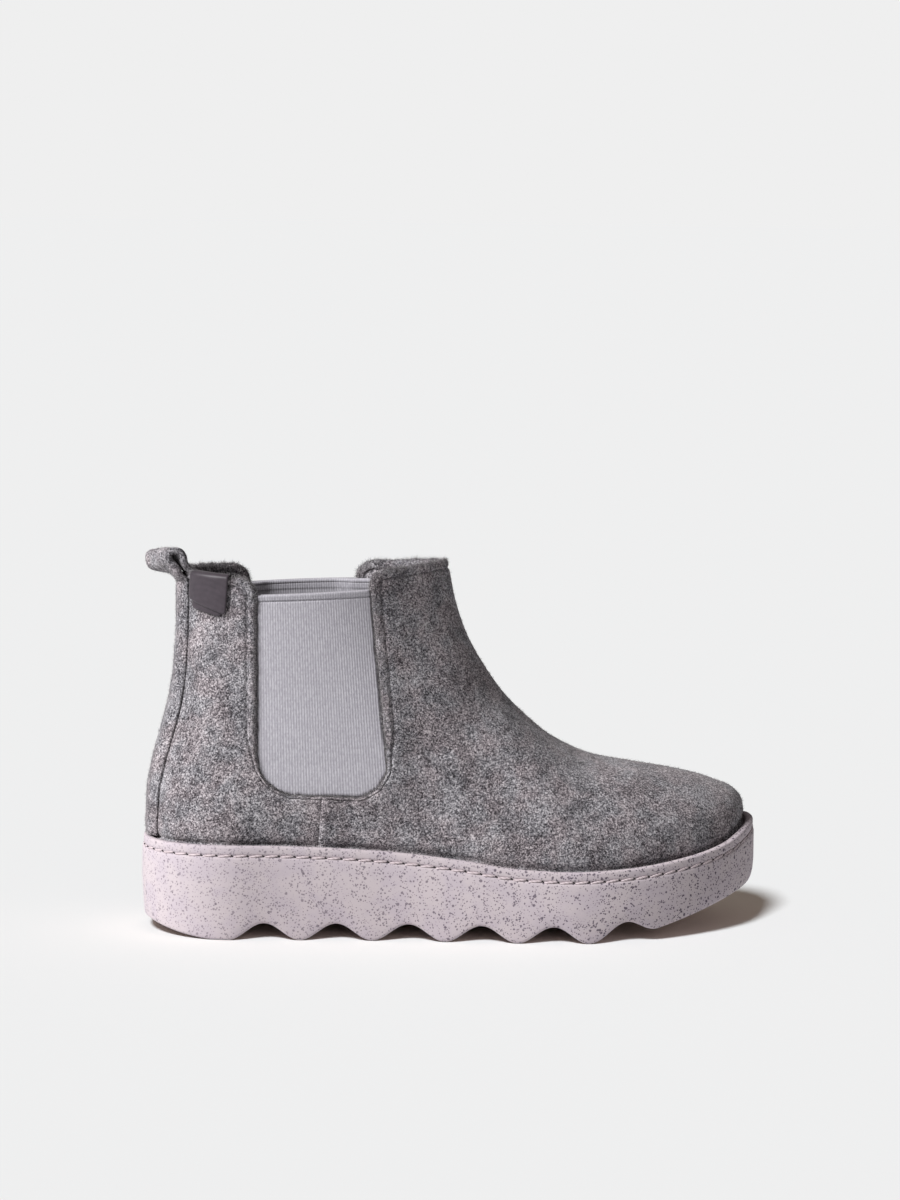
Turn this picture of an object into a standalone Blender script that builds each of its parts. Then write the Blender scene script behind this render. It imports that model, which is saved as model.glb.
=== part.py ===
"""High-top felt slipper for the right foot, as an assembly of separate pieces.

A felt ankle upper with an elastic gusset on each side stands in a moulded cup sole with a wave tread.
Metres. +X points to the toe, +Y to the inner side of the foot, +Z up.
The origin is on the floor, under the middle of the sole's box.
"""

import math
from collections import namedtuple
from functools import lru_cache

import bmesh
import bpy
import numpy as np
from mathutils import Vector

# Driving dimensions

HALF_LENGTH = 0.1320  # half of the sole's length
FELT = 0.0030  # felt of the upper
STRIP = 0.0028  # felt of the heel strip and pull loop
ELASTIC = 0.0014  # woven elastic of the gussets
LABEL = 0.0011  # folded tape of the tab on the collar
INSOLE = 0.0040
GAP = 0.0003  # clearance between pieces that meet
SOLE_WALL = 0.0044  # from the felt to the widest line of the sole's side
CUP_DEPTH = 0.0120  # from the sole's rim down to its footbed

HEEL_X = SOLE_WALL - HALF_LENGTH  # felt at the back of the heel, inside the cup
TOE_X = HALF_LENGTH - SOLE_WALL  # felt at the toe, inside the cup

# Plan of the last's bottom: half width and centre line along the foot, before its ends are rounded

PlanRow = namedtuple("PlanRow", "x half_width centre_y")
PLAN = (
    PlanRow(HEEL_X, 0.0318, 0.0000),
    PlanRow(-0.085, 0.0322, 0.0000),
    PlanRow(-0.035, 0.0340, -0.0012),
    PlanRow(0.015, 0.0405, -0.0016),
    PlanRow(0.050, 0.0448, -0.0006),
    PlanRow(0.085, 0.0455, 0.0022),
    PlanRow(TOE_X, 0.0442, 0.0060),
)
HEEL_ROUND, HEEL_POWER = 0.038, 2.15  # length and fullness of the heel's round end
TOE_ROUND, TOE_POWER = 0.082, 2.30

# Side view: rim of the cup, front line of the felt from toe to collar, and back line at the heel

RimRow = namedtuple("RimRow", "x z")
RIM = (
    RimRow(HEEL_X, 0.0400),
    RimRow(-0.088, 0.0402),
    RimRow(-0.059, 0.0396),
    RimRow(-0.032, 0.0382),
    RimRow(0.000, 0.0350),
    RimRow(0.024, 0.0316),
    RimRow(0.047, 0.0306),
    RimRow(0.071, 0.0318),
    RimRow(0.091, 0.0344),
    RimRow(0.112, 0.0390),
    RimRow(TOE_X, 0.0468),
)

FrontRow = namedtuple("FrontRow", "x z")
FRONT = (
    FrontRow(TOE_X, 0.0300),
    FrontRow(TOE_X, 0.0470),
    FrontRow(0.1266, 0.0538),
    FrontRow(0.1222, 0.0588),
    FrontRow(0.1130, 0.0626),
    FrontRow(0.1000, 0.0664),
    FrontRow(0.0780, 0.0702),
    FrontRow(0.0590, 0.0741),
    FrontRow(0.0455, 0.0802),
    FrontRow(0.0325, 0.0897),
    FrontRow(0.0195, 0.1031),
    FrontRow(0.0109, 0.1156),
    FrontRow(0.0039, 0.1293),
    FrontRow(-0.0005, 0.1430),
    FrontRow(-0.0037, 0.1588),
    FrontRow(-0.0224, 0.2800),
)
COLLAR_FRONT_Z = 0.1580

BackRow = namedtuple("BackRow", "z forward")
BACK = (
    BackRow(0.020, 0.0000),
    BackRow(0.046, 0.0000),
    BackRow(0.058, 0.0003),
    BackRow(0.070, 0.0021),
    BackRow(0.084, 0.0057),
    BackRow(0.098, 0.0092),
    BackRow(0.112, 0.0112),
    BackRow(0.130, 0.0122),
    BackRow(0.160, 0.0120),
)
COLLAR_BACK_Z = 0.1515

# Level sections of the shaft: half width, place of the widest point, fullness of the two ends,
# and how far the empty shaft's front is pinched to an edge

AnkleRow = namedtuple("AnkleRow", "z half_width widest front_power back_power front_pinch")
ANKLE = (
    AnkleRow(0.060, 0.0345, 0.50, 2.30, 2.25, 0.00),
    AnkleRow(0.100, 0.0330, 0.46, 2.10, 2.25, 0.00),
    AnkleRow(0.130, 0.0325, 0.44, 2.00, 2.25, 0.14),
    AnkleRow(0.160, 0.0320, 0.43, 1.90, 2.25, 0.26),
)
REAR_FRONT_X = 0.060  # front end of the level sections where the foot runs on
ANKLE_BLEND = 0.055  # height above the rim over which the heel becomes the ankle
ARCH_POWER, ARCH_ROOT = 2.20, 2.00  # fullness of the cross sections over the foot
ARCH_FOOT = 0.002  # how far below the rim the cross sections begin to lean in
ARCH_X = (-0.030, 0.025)  # along the foot, where cross sections take over from level ones
ARCH_Z = (0.085, 0.130)  # up the shaft, where level sections take over again

# Side gusset: corners of the notch in the felt, each with its fillet, and the elastic behind it

Corner = namedtuple("Corner", "x z radius")
NOTCH = (
    Corner(-0.1100, 0.2000, 0.0),
    Corner(-0.1000, 0.1536, 0.0),
    Corner(-0.0867, 0.1540, 0.0075),
    Corner(-0.0857, 0.0612, 0.0170),
    Corner(-0.0300, 0.0598, 0.0135),
    Corner(-0.0386, 0.1562, 0.0050),
    Corner(-0.0250, 0.1580, 0.0),
    Corner(-0.0150, 0.2000, 0.0),
)
GUSSET_MARGIN = 0.0075  # elastic hidden behind the felt on each side
GUSSET_FOOT_Z = 0.0535
GUSSET_TOP_BACK_Z, GUSSET_TOP_FRONT_Z = 0.1445, 0.1478

# Heel strip, which runs on over the collar as the pull loop and ends inside

STRIP_WIDTH = 0.0220
STRIP_TOP_Z = 0.1490
STRIP_INNER_TOP_Z, STRIP_INNER_FOOT_Z = 0.1495, 0.1370
LoopRow = namedtuple("LoopRow", "x z twist_deg tilt_deg flat")
LOOP = (
    LoopRow(-0.1201, 0.1523, 8.0, 1.0, 0.45),
    LoopRow(-0.1231, 0.1545, 16.0, 3.0, 0.85),
    LoopRow(-0.1254, 0.1563, 21.0, 4.0, 1.00),
    LoopRow(-0.1259, 0.1592, 22.0, 5.0, 1.00),
    LoopRow(-0.1237, 0.1603, 22.0, 5.0, 1.00),
    LoopRow(-0.1212, 0.1593, 22.0, 4.0, 1.00),
    LoopRow(-0.1180, 0.1571, 18.0, 3.0, 0.90),
    LoopRow(-0.1150, 0.1553, 11.0, 1.0, 0.55),
    LoopRow(-0.1125, 0.1541, 4.0, 0.0, 0.20),
    LoopRow(-0.1109, 0.1528, 1.0, 0.0, 0.04),
)

# Folded tape tab over the collar beside the strip

LABEL_START, LABEL_WIDTH = 0.0145, 0.0195  # along the collar from the back
LABEL_DROP, LABEL_INSIDE = 0.0140, 0.0060  # hanging outside and inside the collar
LABEL_LEAN, LABEL_SLANT = 0.10, 0.22  # how far the tape leans back as it hangs, and its lower edge slopes

# Sole: profile of its side, from the tread up, over the rim and down to the footbed

SideRow = namedtuple("SideRow", "offset below_rim")
SOLE_SIDE = (
    SideRow(0.0044, 0.0170),
    SideRow(0.0043, 0.0056),
    SideRow(0.0040, 0.0051),
    SideRow(0.0029, 0.0048),
    SideRow(0.0029, 0.0037),
    SideRow(0.0036, 0.0034),
    SideRow(0.0037, 0.0008),
    SideRow(0.0031, 0.0001),
    SideRow(0.0016, 0.0001),
    SideRow(GAP, 0.0008),
    SideRow(GAP, CUP_DEPTH),
)
SOLE_FOOT_OFFSET = 0.0028  # the side leans in towards the floor
BLANK_FOOT_Z = -0.0020  # underside of the sole before its tread is cut

GROOVES, GROOVE_PITCH, GROOVE_DEPTH = 6, 0.0302, 0.0072
FIRST_GROOVE_X = -0.0822
RIDGE_FLAT = 0.075  # share of the wave that is flattened on the floor
HEEL_RISE, HEEL_RISE_X, HEEL_RISE_POWER = 0.0060, -0.1020, 1.7
TOE_SPRING, TOE_SPRING_X, TOE_SPRING_POWER = 0.0215, 0.0600, 1.2
TOE_CORNER, TOE_CORNER_X = 0.0060, 0.1230  # rounding of the toe's lower edge

# Fineness of the meshes

SIDE_STEPS = 26  # along each side of the foot
LEVELS, LEVEL_BIAS = 26, 1.25  # sections up the felt, closer together near the sole
WAVE_STEPS = 12  # of the tread's outline in each wave
LOOP_STEPS = 27
SAME_PLACE = 0.00002

PALE_PINK = (0.68, 0.57, 0.59, 1.0)
GREY_FELT = (0.22, 0.21, 0.22, 1.0)
GREY_ELASTIC = (0.45, 0.45, 0.49, 1.0)
DARK_TAPE = (0.07, 0.055, 0.065, 1.0)


# Curves and forms

class Smooth:
    """A smooth curve through a table's rows that never overshoots them."""

    def __init__(self, positions, values):
        self.at = np.asarray(positions, float)
        self.value = np.asarray(values, float)
        step = np.diff(self.at)
        slope = np.diff(self.value) / step
        self.tangent = np.zeros(len(self.at))
        self.tangent[0], self.tangent[-1] = slope[0], slope[-1]
        for i in range(1, len(slope)):
            if slope[i - 1] * slope[i] > 0:
                early, late = 2 * step[i] + step[i - 1], step[i] + 2 * step[i - 1]
                self.tangent[i] = (early + late) / (early / slope[i - 1] + late / slope[i])

    def __call__(self, position):
        i = int(np.clip(np.searchsorted(self.at, position) - 1, 0, len(self.at) - 2))
        width = self.at[i + 1] - self.at[i]
        t = min(max((position - self.at[i]) / width, 0.0), 1.0)
        held = (1 + 2 * t) * (1 - t) ** 2 * self.value[i] + t * t * (3 - 2 * t) * self.value[i + 1]
        turned = t * (1 - t) ** 2 * self.tangent[i] - t * t * (1 - t) * self.tangent[i + 1]
        return held + width * turned


def columns(rows, at, value):
    """A Smooth curve over two named columns of a table."""
    return Smooth([getattr(r, at) for r in rows], [getattr(r, value) for r in rows])


def ease(t):
    """0 to 1 with flat ends."""
    t = min(max(t, 0.0), 1.0)
    return t * t * (3 - 2 * t)


def mix(a, b, share):
    return a + (b - a) * share


def round_end(t, power):
    """Half width of a round end, 0 at its tip and 1 where it joins the side."""
    t = min(max(t, 0.0), 1.0)
    return (1 - (1 - t) ** power) ** (1 / power)


plan_half_width = columns(PLAN, "x", "half_width")
plan_centre_y = columns(PLAN, "x", "centre_y")
rim_z = columns(RIM, "x", "z")
back_forward = columns(BACK, "z", "forward")
ankle_half_width = columns(ANKLE, "z", "half_width")
ankle_widest = columns(ANKLE, "z", "widest")
ankle_front_power = columns(ANKLE, "z", "front_power")
ankle_back_power = columns(ANKLE, "z", "back_power")
ankle_front_pinch = columns(ANKLE, "z", "front_pinch")


def path_through(points, count):
    """Points at even steps along a smooth path through some of its points."""
    points = np.asarray(points, float)
    along = np.concatenate([[0.0], np.cumsum(np.linalg.norm(np.diff(points, axis=0), axis=1))])
    parts = [Smooth(along, points[:, i]) for i in range(points.shape[1])]
    return [[part(t) for part in parts] for t in np.linspace(0, along[-1], count)]


FRONT_PATH = np.array(path_through([(r.x, r.z) for r in FRONT], 600))


def front_x(z):
    """Front line of the felt at a height."""
    return float(np.interp(z, FRONT_PATH[:, 1], FRONT_PATH[:, 0]))


def front_z(x):
    """Height of the front line over a point of the foot."""
    return float(np.interp(x, FRONT_PATH[::-1, 0], FRONT_PATH[::-1, 1]))


def back_x(z):
    """Back line of the felt at a height."""
    return HEEL_X + back_forward(z)


def footbed_z(x):
    return rim_z(x) - CUP_DEPTH


def last_half_width(x):
    """Half width of the last's bottom, with its round heel and toe."""
    heel = round_end((x - HEEL_X) / HEEL_ROUND, HEEL_POWER)
    toe = round_end((TOE_X - x) / TOE_ROUND, TOE_POWER)
    return plan_half_width(x) * heel * toe


def level_half_width(x, z):
    """Half width of a level section: the last's outline at the rim, an egg round the ankle above."""
    back, front = back_x(z), min(front_x(z), REAR_FRONT_X)
    s = min(max((x - back) / (front - back), 0.0), 1.0)
    low = last_half_width(mix(HEEL_X, REAR_FRONT_X, s))
    widest = ankle_widest(z)
    if s < widest:
        egg = round_end(s / widest, ankle_back_power(z))
    else:
        t = (1 - s) / (1 - widest)
        egg = round_end(t, ankle_front_power(z)) * math.sin(math.pi / 2 * t) ** ankle_front_pinch(z)
    return mix(low, ankle_half_width(z) * egg, ease((z - rim_z(x)) / ANKLE_BLEND))


def arch_half_width(x, z):
    """Half width of a cross section over the foot, from the rim up to the front line."""
    foot = rim_z(x) - ARCH_FOOT
    rise = min(max((z - foot) / max(front_z(x) - foot, 1e-6), 0.0), 1.0)
    return last_half_width(x) * (1 - rise ** ARCH_POWER) ** (1 / ARCH_ROOT)


def felt_half_width(x, z):
    """Half width of the upper's outer face."""
    along = ease((x - ARCH_X[0]) / (ARCH_X[1] - ARCH_X[0]))
    up = 1 - ease((z - ARCH_Z[0]) / (ARCH_Z[1] - ARCH_Z[0]))
    return mix(level_half_width(x, z), arch_half_width(x, z), along * up)


def felt_point(x, z, side):
    """A point of the upper's outer face; side is -1 on the outer side of the foot and +1 on the inner."""
    return Vector((x, centre_y(x) + side * felt_half_width(x, z), z))


def side_stations(start, end, count):
    """Places along the foot, closer together at the two round ends."""
    return [mix(start, end, (1 - math.cos(math.pi * i / count)) / 2) for i in range(count + 1)]


def ring_of(stations, point):
    """A closed ring from heel to toe along the outer side, and back along the inner."""
    outer = [point(x, -1) for x in stations]
    inner = [point(x, +1) for x in stations[-2:0:-1]]
    return outer + inner


def last_outline(offset):
    """The last's outline in plan, moved out by an offset, as a ring of (x, y)."""
    stations = side_stations(HEEL_X, TOE_X, SIDE_STEPS)
    ring = ring_of(stations, lambda x, side: Vector((x, centre_y(x) + side * last_half_width(x))))
    moved = []
    for i, point in enumerate(ring):
        along = (ring[(i + 1) % len(ring)] - ring[i - 1]).normalized()
        moved.append(point + offset * Vector((along.y, -along.x)))
    return moved


def centre_y(x):
    """Centre line of the last, with the sole's box centred on the axis."""
    return plan_centre_y(x) - plan_shift()


@lru_cache(maxsize=None)
def plan_shift():
    """How far the middle of the sole's widest lines lies off the last's own axis."""
    stations = side_stations(HEEL_X, TOE_X, 200)
    widest = [max(side * plan_centre_y(x) + last_half_width(x) for x in stations) for side in (-1, 1)]
    return (widest[1] - widest[0]) / 2


@lru_cache(maxsize=None)
def heel_section(z):
    """One half of the level section round the heel: distance from the back, x and half width."""
    reach = 0.055
    stations = [back_x(z) + reach * (1 - math.cos(math.pi / 2 * i / 120)) for i in range(121)]
    halves = [felt_half_width(x, z) for x in stations]
    steps = np.hypot(np.diff(stations), np.diff(halves))
    return np.concatenate([[0.0], np.cumsum(steps)]), np.array(stations), np.array(halves)


def heel_point(arc, z):
    """A point of the upper's outer face, by its distance round the heel from the back."""
    distance, stations, halves = heel_section(z)
    x = float(np.interp(abs(arc), distance, stations))
    half = float(np.interp(abs(arc), distance, halves))
    return Vector((x, centre_y(x) + math.copysign(half, arc), z))


def moved_out(point, a, b, distance, step=0.0012):
    """A surface point moved along the outward normal. point takes the two parameters a and b."""
    along_a = point(a + step, b) - point(a - step, b)
    along_b = point(a, b + step) - point(a, b - step)
    normal = along_a.cross(along_b).normalized()
    here = point(a, b)
    towards_axis = Vector((-0.060 - here.x, -here.y, 0.0))
    if normal.dot(towards_axis) > 0:
        normal.negate()
    return here + distance * normal


def tread_z(x):
    """Underside of the sole: heel rise, wave and toe spring."""
    z = 0.0
    if x < HEEL_RISE_X:
        z += HEEL_RISE * ((HEEL_RISE_X - x) / (HALF_LENGTH + HEEL_RISE_X)) ** HEEL_RISE_POWER
    if x > TOE_SPRING_X:
        z += TOE_SPRING * ((x - TOE_SPRING_X) / (HALF_LENGTH - TOE_SPRING_X)) ** TOE_SPRING_POWER
    if x > TOE_CORNER_X:
        z += TOE_CORNER * ((x - TOE_CORNER_X) / (HALF_LENGTH - TOE_CORNER_X)) ** 3
    turn = (x - FIRST_GROOVE_X) / GROOVE_PITCH
    if -0.5 < turn < GROOVES - 0.5:
        wave = 0.5 + 0.5 * math.cos(2 * math.pi * turn)
        z += GROOVE_DEPTH * max(0.0, wave - RIDGE_FLAT) / (1 - RIDGE_FLAT)
    return z


# Blender helpers

def clear_scene():
    for obj in list(bpy.data.objects):
        bpy.data.objects.remove(obj)


def collection_named(name):
    made = bpy.data.collections.new(name)
    bpy.context.scene.collection.children.link(made)
    return made


def material(name, colour, roughness):
    made = bpy.data.materials.new(name)
    made.use_nodes = True
    shader = made.node_tree.nodes["Principled BSDF"]
    shader.inputs["Base Color"].default_value = colour
    shader.inputs["Roughness"].default_value = roughness
    shader.inputs["Metallic"].default_value = 0.0
    return made


def object_of(bm, name, finish, parts):
    """A named object from a bmesh, smooth apart from its sharp edges."""
    mesh = bpy.data.meshes.new(name)
    bm.to_mesh(mesh)
    bm.free()
    mesh.shade_smooth()
    mesh.set_sharp_from_angle(angle=math.radians(40))
    if finish:
        mesh.materials.append(finish)
    made = bpy.data.objects.new(name, mesh)
    parts.objects.link(made)
    return made


def skin(bm, rings, closed):
    """Quads between rings of equal count. Returns the rings' vertices."""
    made = [[bm.verts.new(p) for p in ring] for ring in rings]
    for low, high in zip(made, made[1:]):
        for i in range(len(low) if closed else len(low) - 1):
            j = (i + 1) % len(low)
            bm.faces.new((low[i], low[j], high[j], high[i]))
    return made


def floor_across(bm, ring, facing_up):
    """Closes a heel-to-toe ring with strips from its outer side to its inner side."""
    count = len(ring)
    for i in range(count // 2):
        corners = [ring[i], ring[i + 1], ring[-i - 1], ring[-i % count]]
        unlike = list(dict.fromkeys(corners))
        bm.faces.new(unlike if facing_up else unlike[::-1])


def sheet(rows, name, finish, parts, thickness, offset):
    """An open surface of rows of points, thickened by Solidify."""
    bm = bmesh.new()
    skin(bm, rows, closed=False)
    made = object_of(bm, name, finish, parts)
    thicken(made, thickness, offset)
    return made


def thicken(obj, thickness, offset):
    wall = obj.modifiers.new("wall", "SOLIDIFY")
    wall.thickness = thickness
    wall.offset = offset
    wall.use_even_offset = True


def prism(name, outline, half_depth, cutters):
    """A closed outline in the XZ plane, extruded to both sides along Y, as a mesh to cut with."""
    curve = bpy.data.curves.new(name, "CURVE")
    curve.dimensions = "2D"
    curve.fill_mode = "BOTH"
    curve.extrude = half_depth
    spline = curve.splines.new("POLY")
    spline.points.add(len(outline) - 1)
    for point, (x, z) in zip(spline.points, outline):
        point.co = (x, z, 0.0, 1.0)
    spline.use_cyclic_u = True
    drawn = bpy.data.objects.new(name + "_outline", curve)
    cutters.objects.link(drawn)
    drawn.rotation_euler = (math.pi / 2, 0.0, 0.0)
    bpy.context.view_layer.update()
    seen = drawn.evaluated_get(bpy.context.evaluated_depsgraph_get())
    mesh = bpy.data.meshes.new_from_object(seen)
    bm = bmesh.new()
    bm.from_mesh(mesh)
    bmesh.ops.remove_doubles(bm, verts=bm.verts, dist=SAME_PLACE)
    bmesh.ops.recalc_face_normals(bm, faces=bm.faces)
    bm.to_mesh(mesh)
    bm.free()
    cutter = bpy.data.objects.new(name, mesh)
    cutter.matrix_world = drawn.matrix_world.copy()
    bpy.data.objects.remove(drawn)
    cutters.objects.link(cutter)
    cutter.hide_render = True
    cutter.display_type = "WIRE"
    return cutter


def cut(obj, cutter):
    made = obj.modifiers.new("cut", "BOOLEAN")
    made.operation = "DIFFERENCE"
    made.object = cutter


def filleted(corners, steps=7):
    """An outline through corners, with an arc of each corner's own radius."""
    points = []
    for i, corner in enumerate(corners):
        here = Vector((corner.x, corner.z))
        before = corners[i - 1]
        after = corners[(i + 1) % len(corners)]
        to_before = (Vector((before.x, before.z)) - here).normalized()
        to_after = (Vector((after.x, after.z)) - here).normalized()
        if corner.radius == 0:
            points.append(here)
            continue
        half = to_before.angle(to_after) / 2
        middle = here + (to_before + to_after).normalized() * corner.radius / math.sin(half)
        first = here + to_before * corner.radius / math.tan(half) - middle
        last = here + to_after * corner.radius / math.tan(half) - middle
        turn = first.angle_signed(last)
        for k in range(steps + 1):
            angle = -turn * k / steps
            spoke = Vector((
                first.x * math.cos(angle) - first.y * math.sin(angle),
                first.x * math.sin(angle) + first.y * math.cos(angle),
            ))
            points.append(middle + spoke)
    return [(p.x, p.y) for p in points]


# Pieces

def build_sole(finish, parts, cutters):
    """Cup sole: a blank lofted up its side, over the rim and down to the footbed, with its tread cut away."""
    foot = [Vector((p.x, p.y, BLANK_FOOT_Z)) for p in last_outline(SOLE_FOOT_OFFSET)]
    base = last_outline(0.0)
    rings = [foot]
    for row in SOLE_SIDE:
        outline = last_outline(row.offset)
        rings.append([Vector((p.x, p.y, rim_z(b.x) - row.below_rim)) for p, b in zip(outline, base)])
    bm = bmesh.new()
    made = skin(bm, rings, closed=True)
    floor_across(bm, made[0], facing_up=False)
    floor_across(bm, made[-1], facing_up=True)
    bmesh.ops.recalc_face_normals(bm, faces=bm.faces)
    sole = object_of(bm, "sole", finish, parts)
    ends = HALF_LENGTH + 0.01
    step = GROOVE_PITCH / WAVE_STEPS
    before, after = math.ceil((ends + FIRST_GROOVE_X) / step), math.ceil((ends - FIRST_GROOVE_X) / step)
    tread = [(x, tread_z(x)) for x in (FIRST_GROOVE_X + step * i for i in range(-before, after + 1))]
    ends = max(-tread[0][0], tread[-1][0])
    under = [(ends, -0.02), (-ends, -0.02)]
    cut(sole, prism("tread_cutter", tread + under, 0.07, cutters))
    return sole


def build_insole(finish, parts):
    """Insole lying on the footbed inside the felt."""
    outline = last_outline(-(FELT + 2 * GAP))
    rings = []
    for lift in (GAP, INSOLE):
        rings.append([Vector((p.x, p.y, footbed_z(p.x) + lift)) for p in outline])
    bm = bmesh.new()
    made = skin(bm, rings, closed=True)
    floor_across(bm, made[0], facing_up=False)
    floor_across(bm, made[-1], facing_up=True)
    bmesh.ops.recalc_face_normals(bm, faces=bm.faces)
    return object_of(bm, "insole", finish, parts)


def upper_ring(level):
    """A section of the upper's outer face, from the footbed at level 0 to the collar at level 1."""
    bottom_back, bottom_front = footbed_z(HEEL_X) + GAP, footbed_z(TOE_X) + GAP
    reach = FRONT_PATH[(FRONT_PATH[:, 1] >= bottom_front) & (FRONT_PATH[:, 1] <= COLLAR_FRONT_Z)]
    along = np.concatenate([[0.0], np.cumsum(np.linalg.norm(np.diff(reach, axis=0), axis=1))])
    front_height = float(np.interp(level * along[-1], along, reach[:, 1]))
    back_height = mix(bottom_back, COLLAR_BACK_Z, level)
    if level == 0:
        front_height = bottom_front
    start, end = back_x(back_height), front_x(front_height)

    def point(x, side):
        s = (x - start) / (end - start)
        dip = footbed_z(mix(HEEL_X, TOE_X, s)) + GAP - mix(bottom_back, bottom_front, s)
        z = mix(back_height, front_height, s) + dip * (1 - level) ** 2
        if s <= 0 or s >= 1:
            return Vector((x, centre_y(x), z))
        return felt_point(x, z, side)

    return ring_of(side_stations(start, end, SIDE_STEPS), point)


def build_upper(finish, parts, cutters):
    """Felt upper, open at the collar and underneath, notched on both sides for the gussets."""
    rings = [upper_ring((i / LEVELS) ** LEVEL_BIAS) for i in range(LEVELS + 1)]
    bm = bmesh.new()
    skin(bm, rings, closed=True)
    upper = object_of(bm, "upper", finish, parts)
    thicken(upper, FELT, -1.0)
    cut(upper, prism("gusset_notch", filleted(NOTCH), 0.07, cutters))
    return upper


def gusset_edges(z):
    """Back and front of the elastic at a height, beyond the notch on each side."""
    low_back, low_front = NOTCH[3], NOTCH[4]
    high_back, high_front = NOTCH[2], NOTCH[5]
    back = mix(low_back.x, high_back.x, (z - low_back.z) / (high_back.z - low_back.z))
    front = mix(low_front.x, high_front.x, (z - low_front.z) / (high_front.z - low_front.z))
    return back - GUSSET_MARGIN, front + GUSSET_MARGIN


def build_gusset(name, side, finish, parts, across=9, up=11):
    """Elastic panel lying against the inside of the felt, behind the notch."""
    inward = -(FELT + GAP + ELASTIC / 2)
    rows = []
    for j in range(up + 1):
        row = []
        for i in range(across + 1):
            top = mix(GUSSET_TOP_BACK_Z, GUSSET_TOP_FRONT_Z, i / across)
            z = mix(GUSSET_FOOT_Z, top, j / up)
            back, front = gusset_edges(z)
            x = mix(back, front, i / across)
            row.append(moved_out(lambda a, b: felt_point(a, b, side), x, z, inward))
        rows.append(row)
    return sheet(rows, name, finish, parts, ELASTIC, 0.0)


def build_heel_strip(finish, parts, across=6):
    """Felt strip up the back of the heel, running on over the collar as the pull loop and down inside."""
    arcs = np.linspace(-STRIP_WIDTH / 2, STRIP_WIDTH / 2, across + 1)
    outside, inside = GAP + STRIP / 2, -(FELT + 2 * GAP + STRIP / 2)
    foot_z = rim_z(HEEL_X) + 2 * GAP
    rows = []
    for z in np.linspace(foot_z, STRIP_TOP_Z, 15):
        rows.append([moved_out(heel_point, arc, z, outside) for arc in arcs])
    inner = []
    for z in np.linspace(STRIP_INNER_TOP_Z, STRIP_INNER_FOOT_Z, 4):
        inner.append([moved_out(heel_point, arc, z, inside) for arc in arcs])
    start, end = rows[-1], inner[0]
    middle = across // 2
    through = [(p.x, p.z) for p in (start[middle],)]
    through += [(r.x, r.z) for r in LOOP]
    through += [(p.x, p.z) for p in (end[middle],)]
    path = path_through(through, LOOP_STEPS)
    rungs = range(len(through))
    twist = Smooth(rungs, [0.0, *[r.twist_deg for r in LOOP], 0.0])
    tilt = Smooth(rungs, [0.0, *[r.tilt_deg for r in LOOP], 0.0])
    flat = Smooth(rungs, [0.0, *[r.flat for r in LOOP], 0.0])
    along = np.linspace(0, rungs[-1], LOOP_STEPS)
    for (x, z), t in list(zip(path, along))[1:-1]:
        turn, sink = math.radians(twist(t)), math.radians(tilt(t))
        crosswise = Vector((-math.sin(turn), math.cos(turn), -math.sin(sink))).normalized()
        bent = start if t < along[-1] / 2 else end
        row = []
        for arc, point in zip(arcs, bent):
            curled = point - bent[middle]
            row.append(Vector((x, centre_y(x), z)) + curled.lerp(crosswise * arc, flat(t)))
        rows.append(row)
    return sheet(rows + inner, "heel_strip_and_loop", finish, parts, STRIP, 0.0)


def collar_z(x):
    """Height of the collar's edge."""
    share = (x - back_x(COLLAR_BACK_Z)) / (front_x(COLLAR_FRONT_Z) - back_x(COLLAR_BACK_Z))
    return mix(COLLAR_BACK_Z, COLLAR_FRONT_Z, share)


def build_label(finish, parts, across=4):
    """Tape tab folded over the collar's edge beside the heel strip, on the outer side."""
    outside, inside = GAP + LABEL / 2, -(FELT + GAP + LABEL / 2)
    top = GAP + LABEL / 2
    profile = [(outside, -LABEL_DROP * k / 6) for k in range(6, 0, -1)]
    profile += [(outside, top * 0.3), (outside - 0.0005, top), (inside + 0.0005, top), (inside, top * 0.3)]
    profile += [(inside, -LABEL_INSIDE * k / 3) for k in range(1, 4)]
    rows = []
    for out, rise in profile:
        row = []
        for i in range(across + 1):
            arc = -(LABEL_START + LABEL_WIDTH * i / across)
            slip = LABEL_LEAN * min(rise, 0.0) if out > 0 else 0.0
            drop = LABEL_SLANT * LABEL_WIDTH * (i / across) * min(rise, 0.0) / LABEL_DROP if out > 0 else 0.0
            arc -= slip
            edge = collar_z(heel_point(arc, COLLAR_BACK_Z).x)
            point = moved_out(heel_point, arc, edge + min(rise, 0.0) + drop, out)
            row.append(point + Vector((0.0, 0.0, max(rise, 0.0))))
        rows.append(row)
    return sheet(rows, "label_tab", finish, parts, LABEL, 0.0)


def main():
    clear_scene()
    parts = collection_named("felt_slipper")
    cutters = collection_named("cutters")
    rubber = material("moulded_rubber", PALE_PINK, 0.75)
    felt = material("wool_felt", GREY_FELT, 0.95)
    elastic = material("woven_elastic", GREY_ELASTIC, 0.80)
    tape = material("woven_tape", DARK_TAPE, 0.70)
    pieces = [
        build_sole(rubber, parts, cutters),
        build_insole(felt, parts),
        build_upper(felt, parts, cutters),
        build_gusset("gusset_outer", -1, elastic, parts),
        build_gusset("gusset_inner", +1, elastic, parts),
        build_heel_strip(felt, parts),
        build_label(tape, parts),
    ]
    stand = bpy.data.objects.new("slipper", None)
    parts.objects.link(stand)
    for piece in pieces:
        piece.parent = stand


main()
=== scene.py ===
"""Looks of the high-top felt slipper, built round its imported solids.

A felt ankle upper with an elastic gusset on each side stands in a moulded, speckled cup sole.
Metres. +X points to the toe, +Y to the inner side of the foot, +Z up.
"""

import logging
import math
from dataclasses import dataclass, field
from enum import Enum
from typing import Callable, Sequence

import bmesh
import bpy
import numpy as np
from bmesh.types import BMesh, BMLayerItem
from bpy.types import Material, Mesh, Node, NodeSocket, NodeTree, Object
from mathutils import Matrix, Vector, noise


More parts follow.
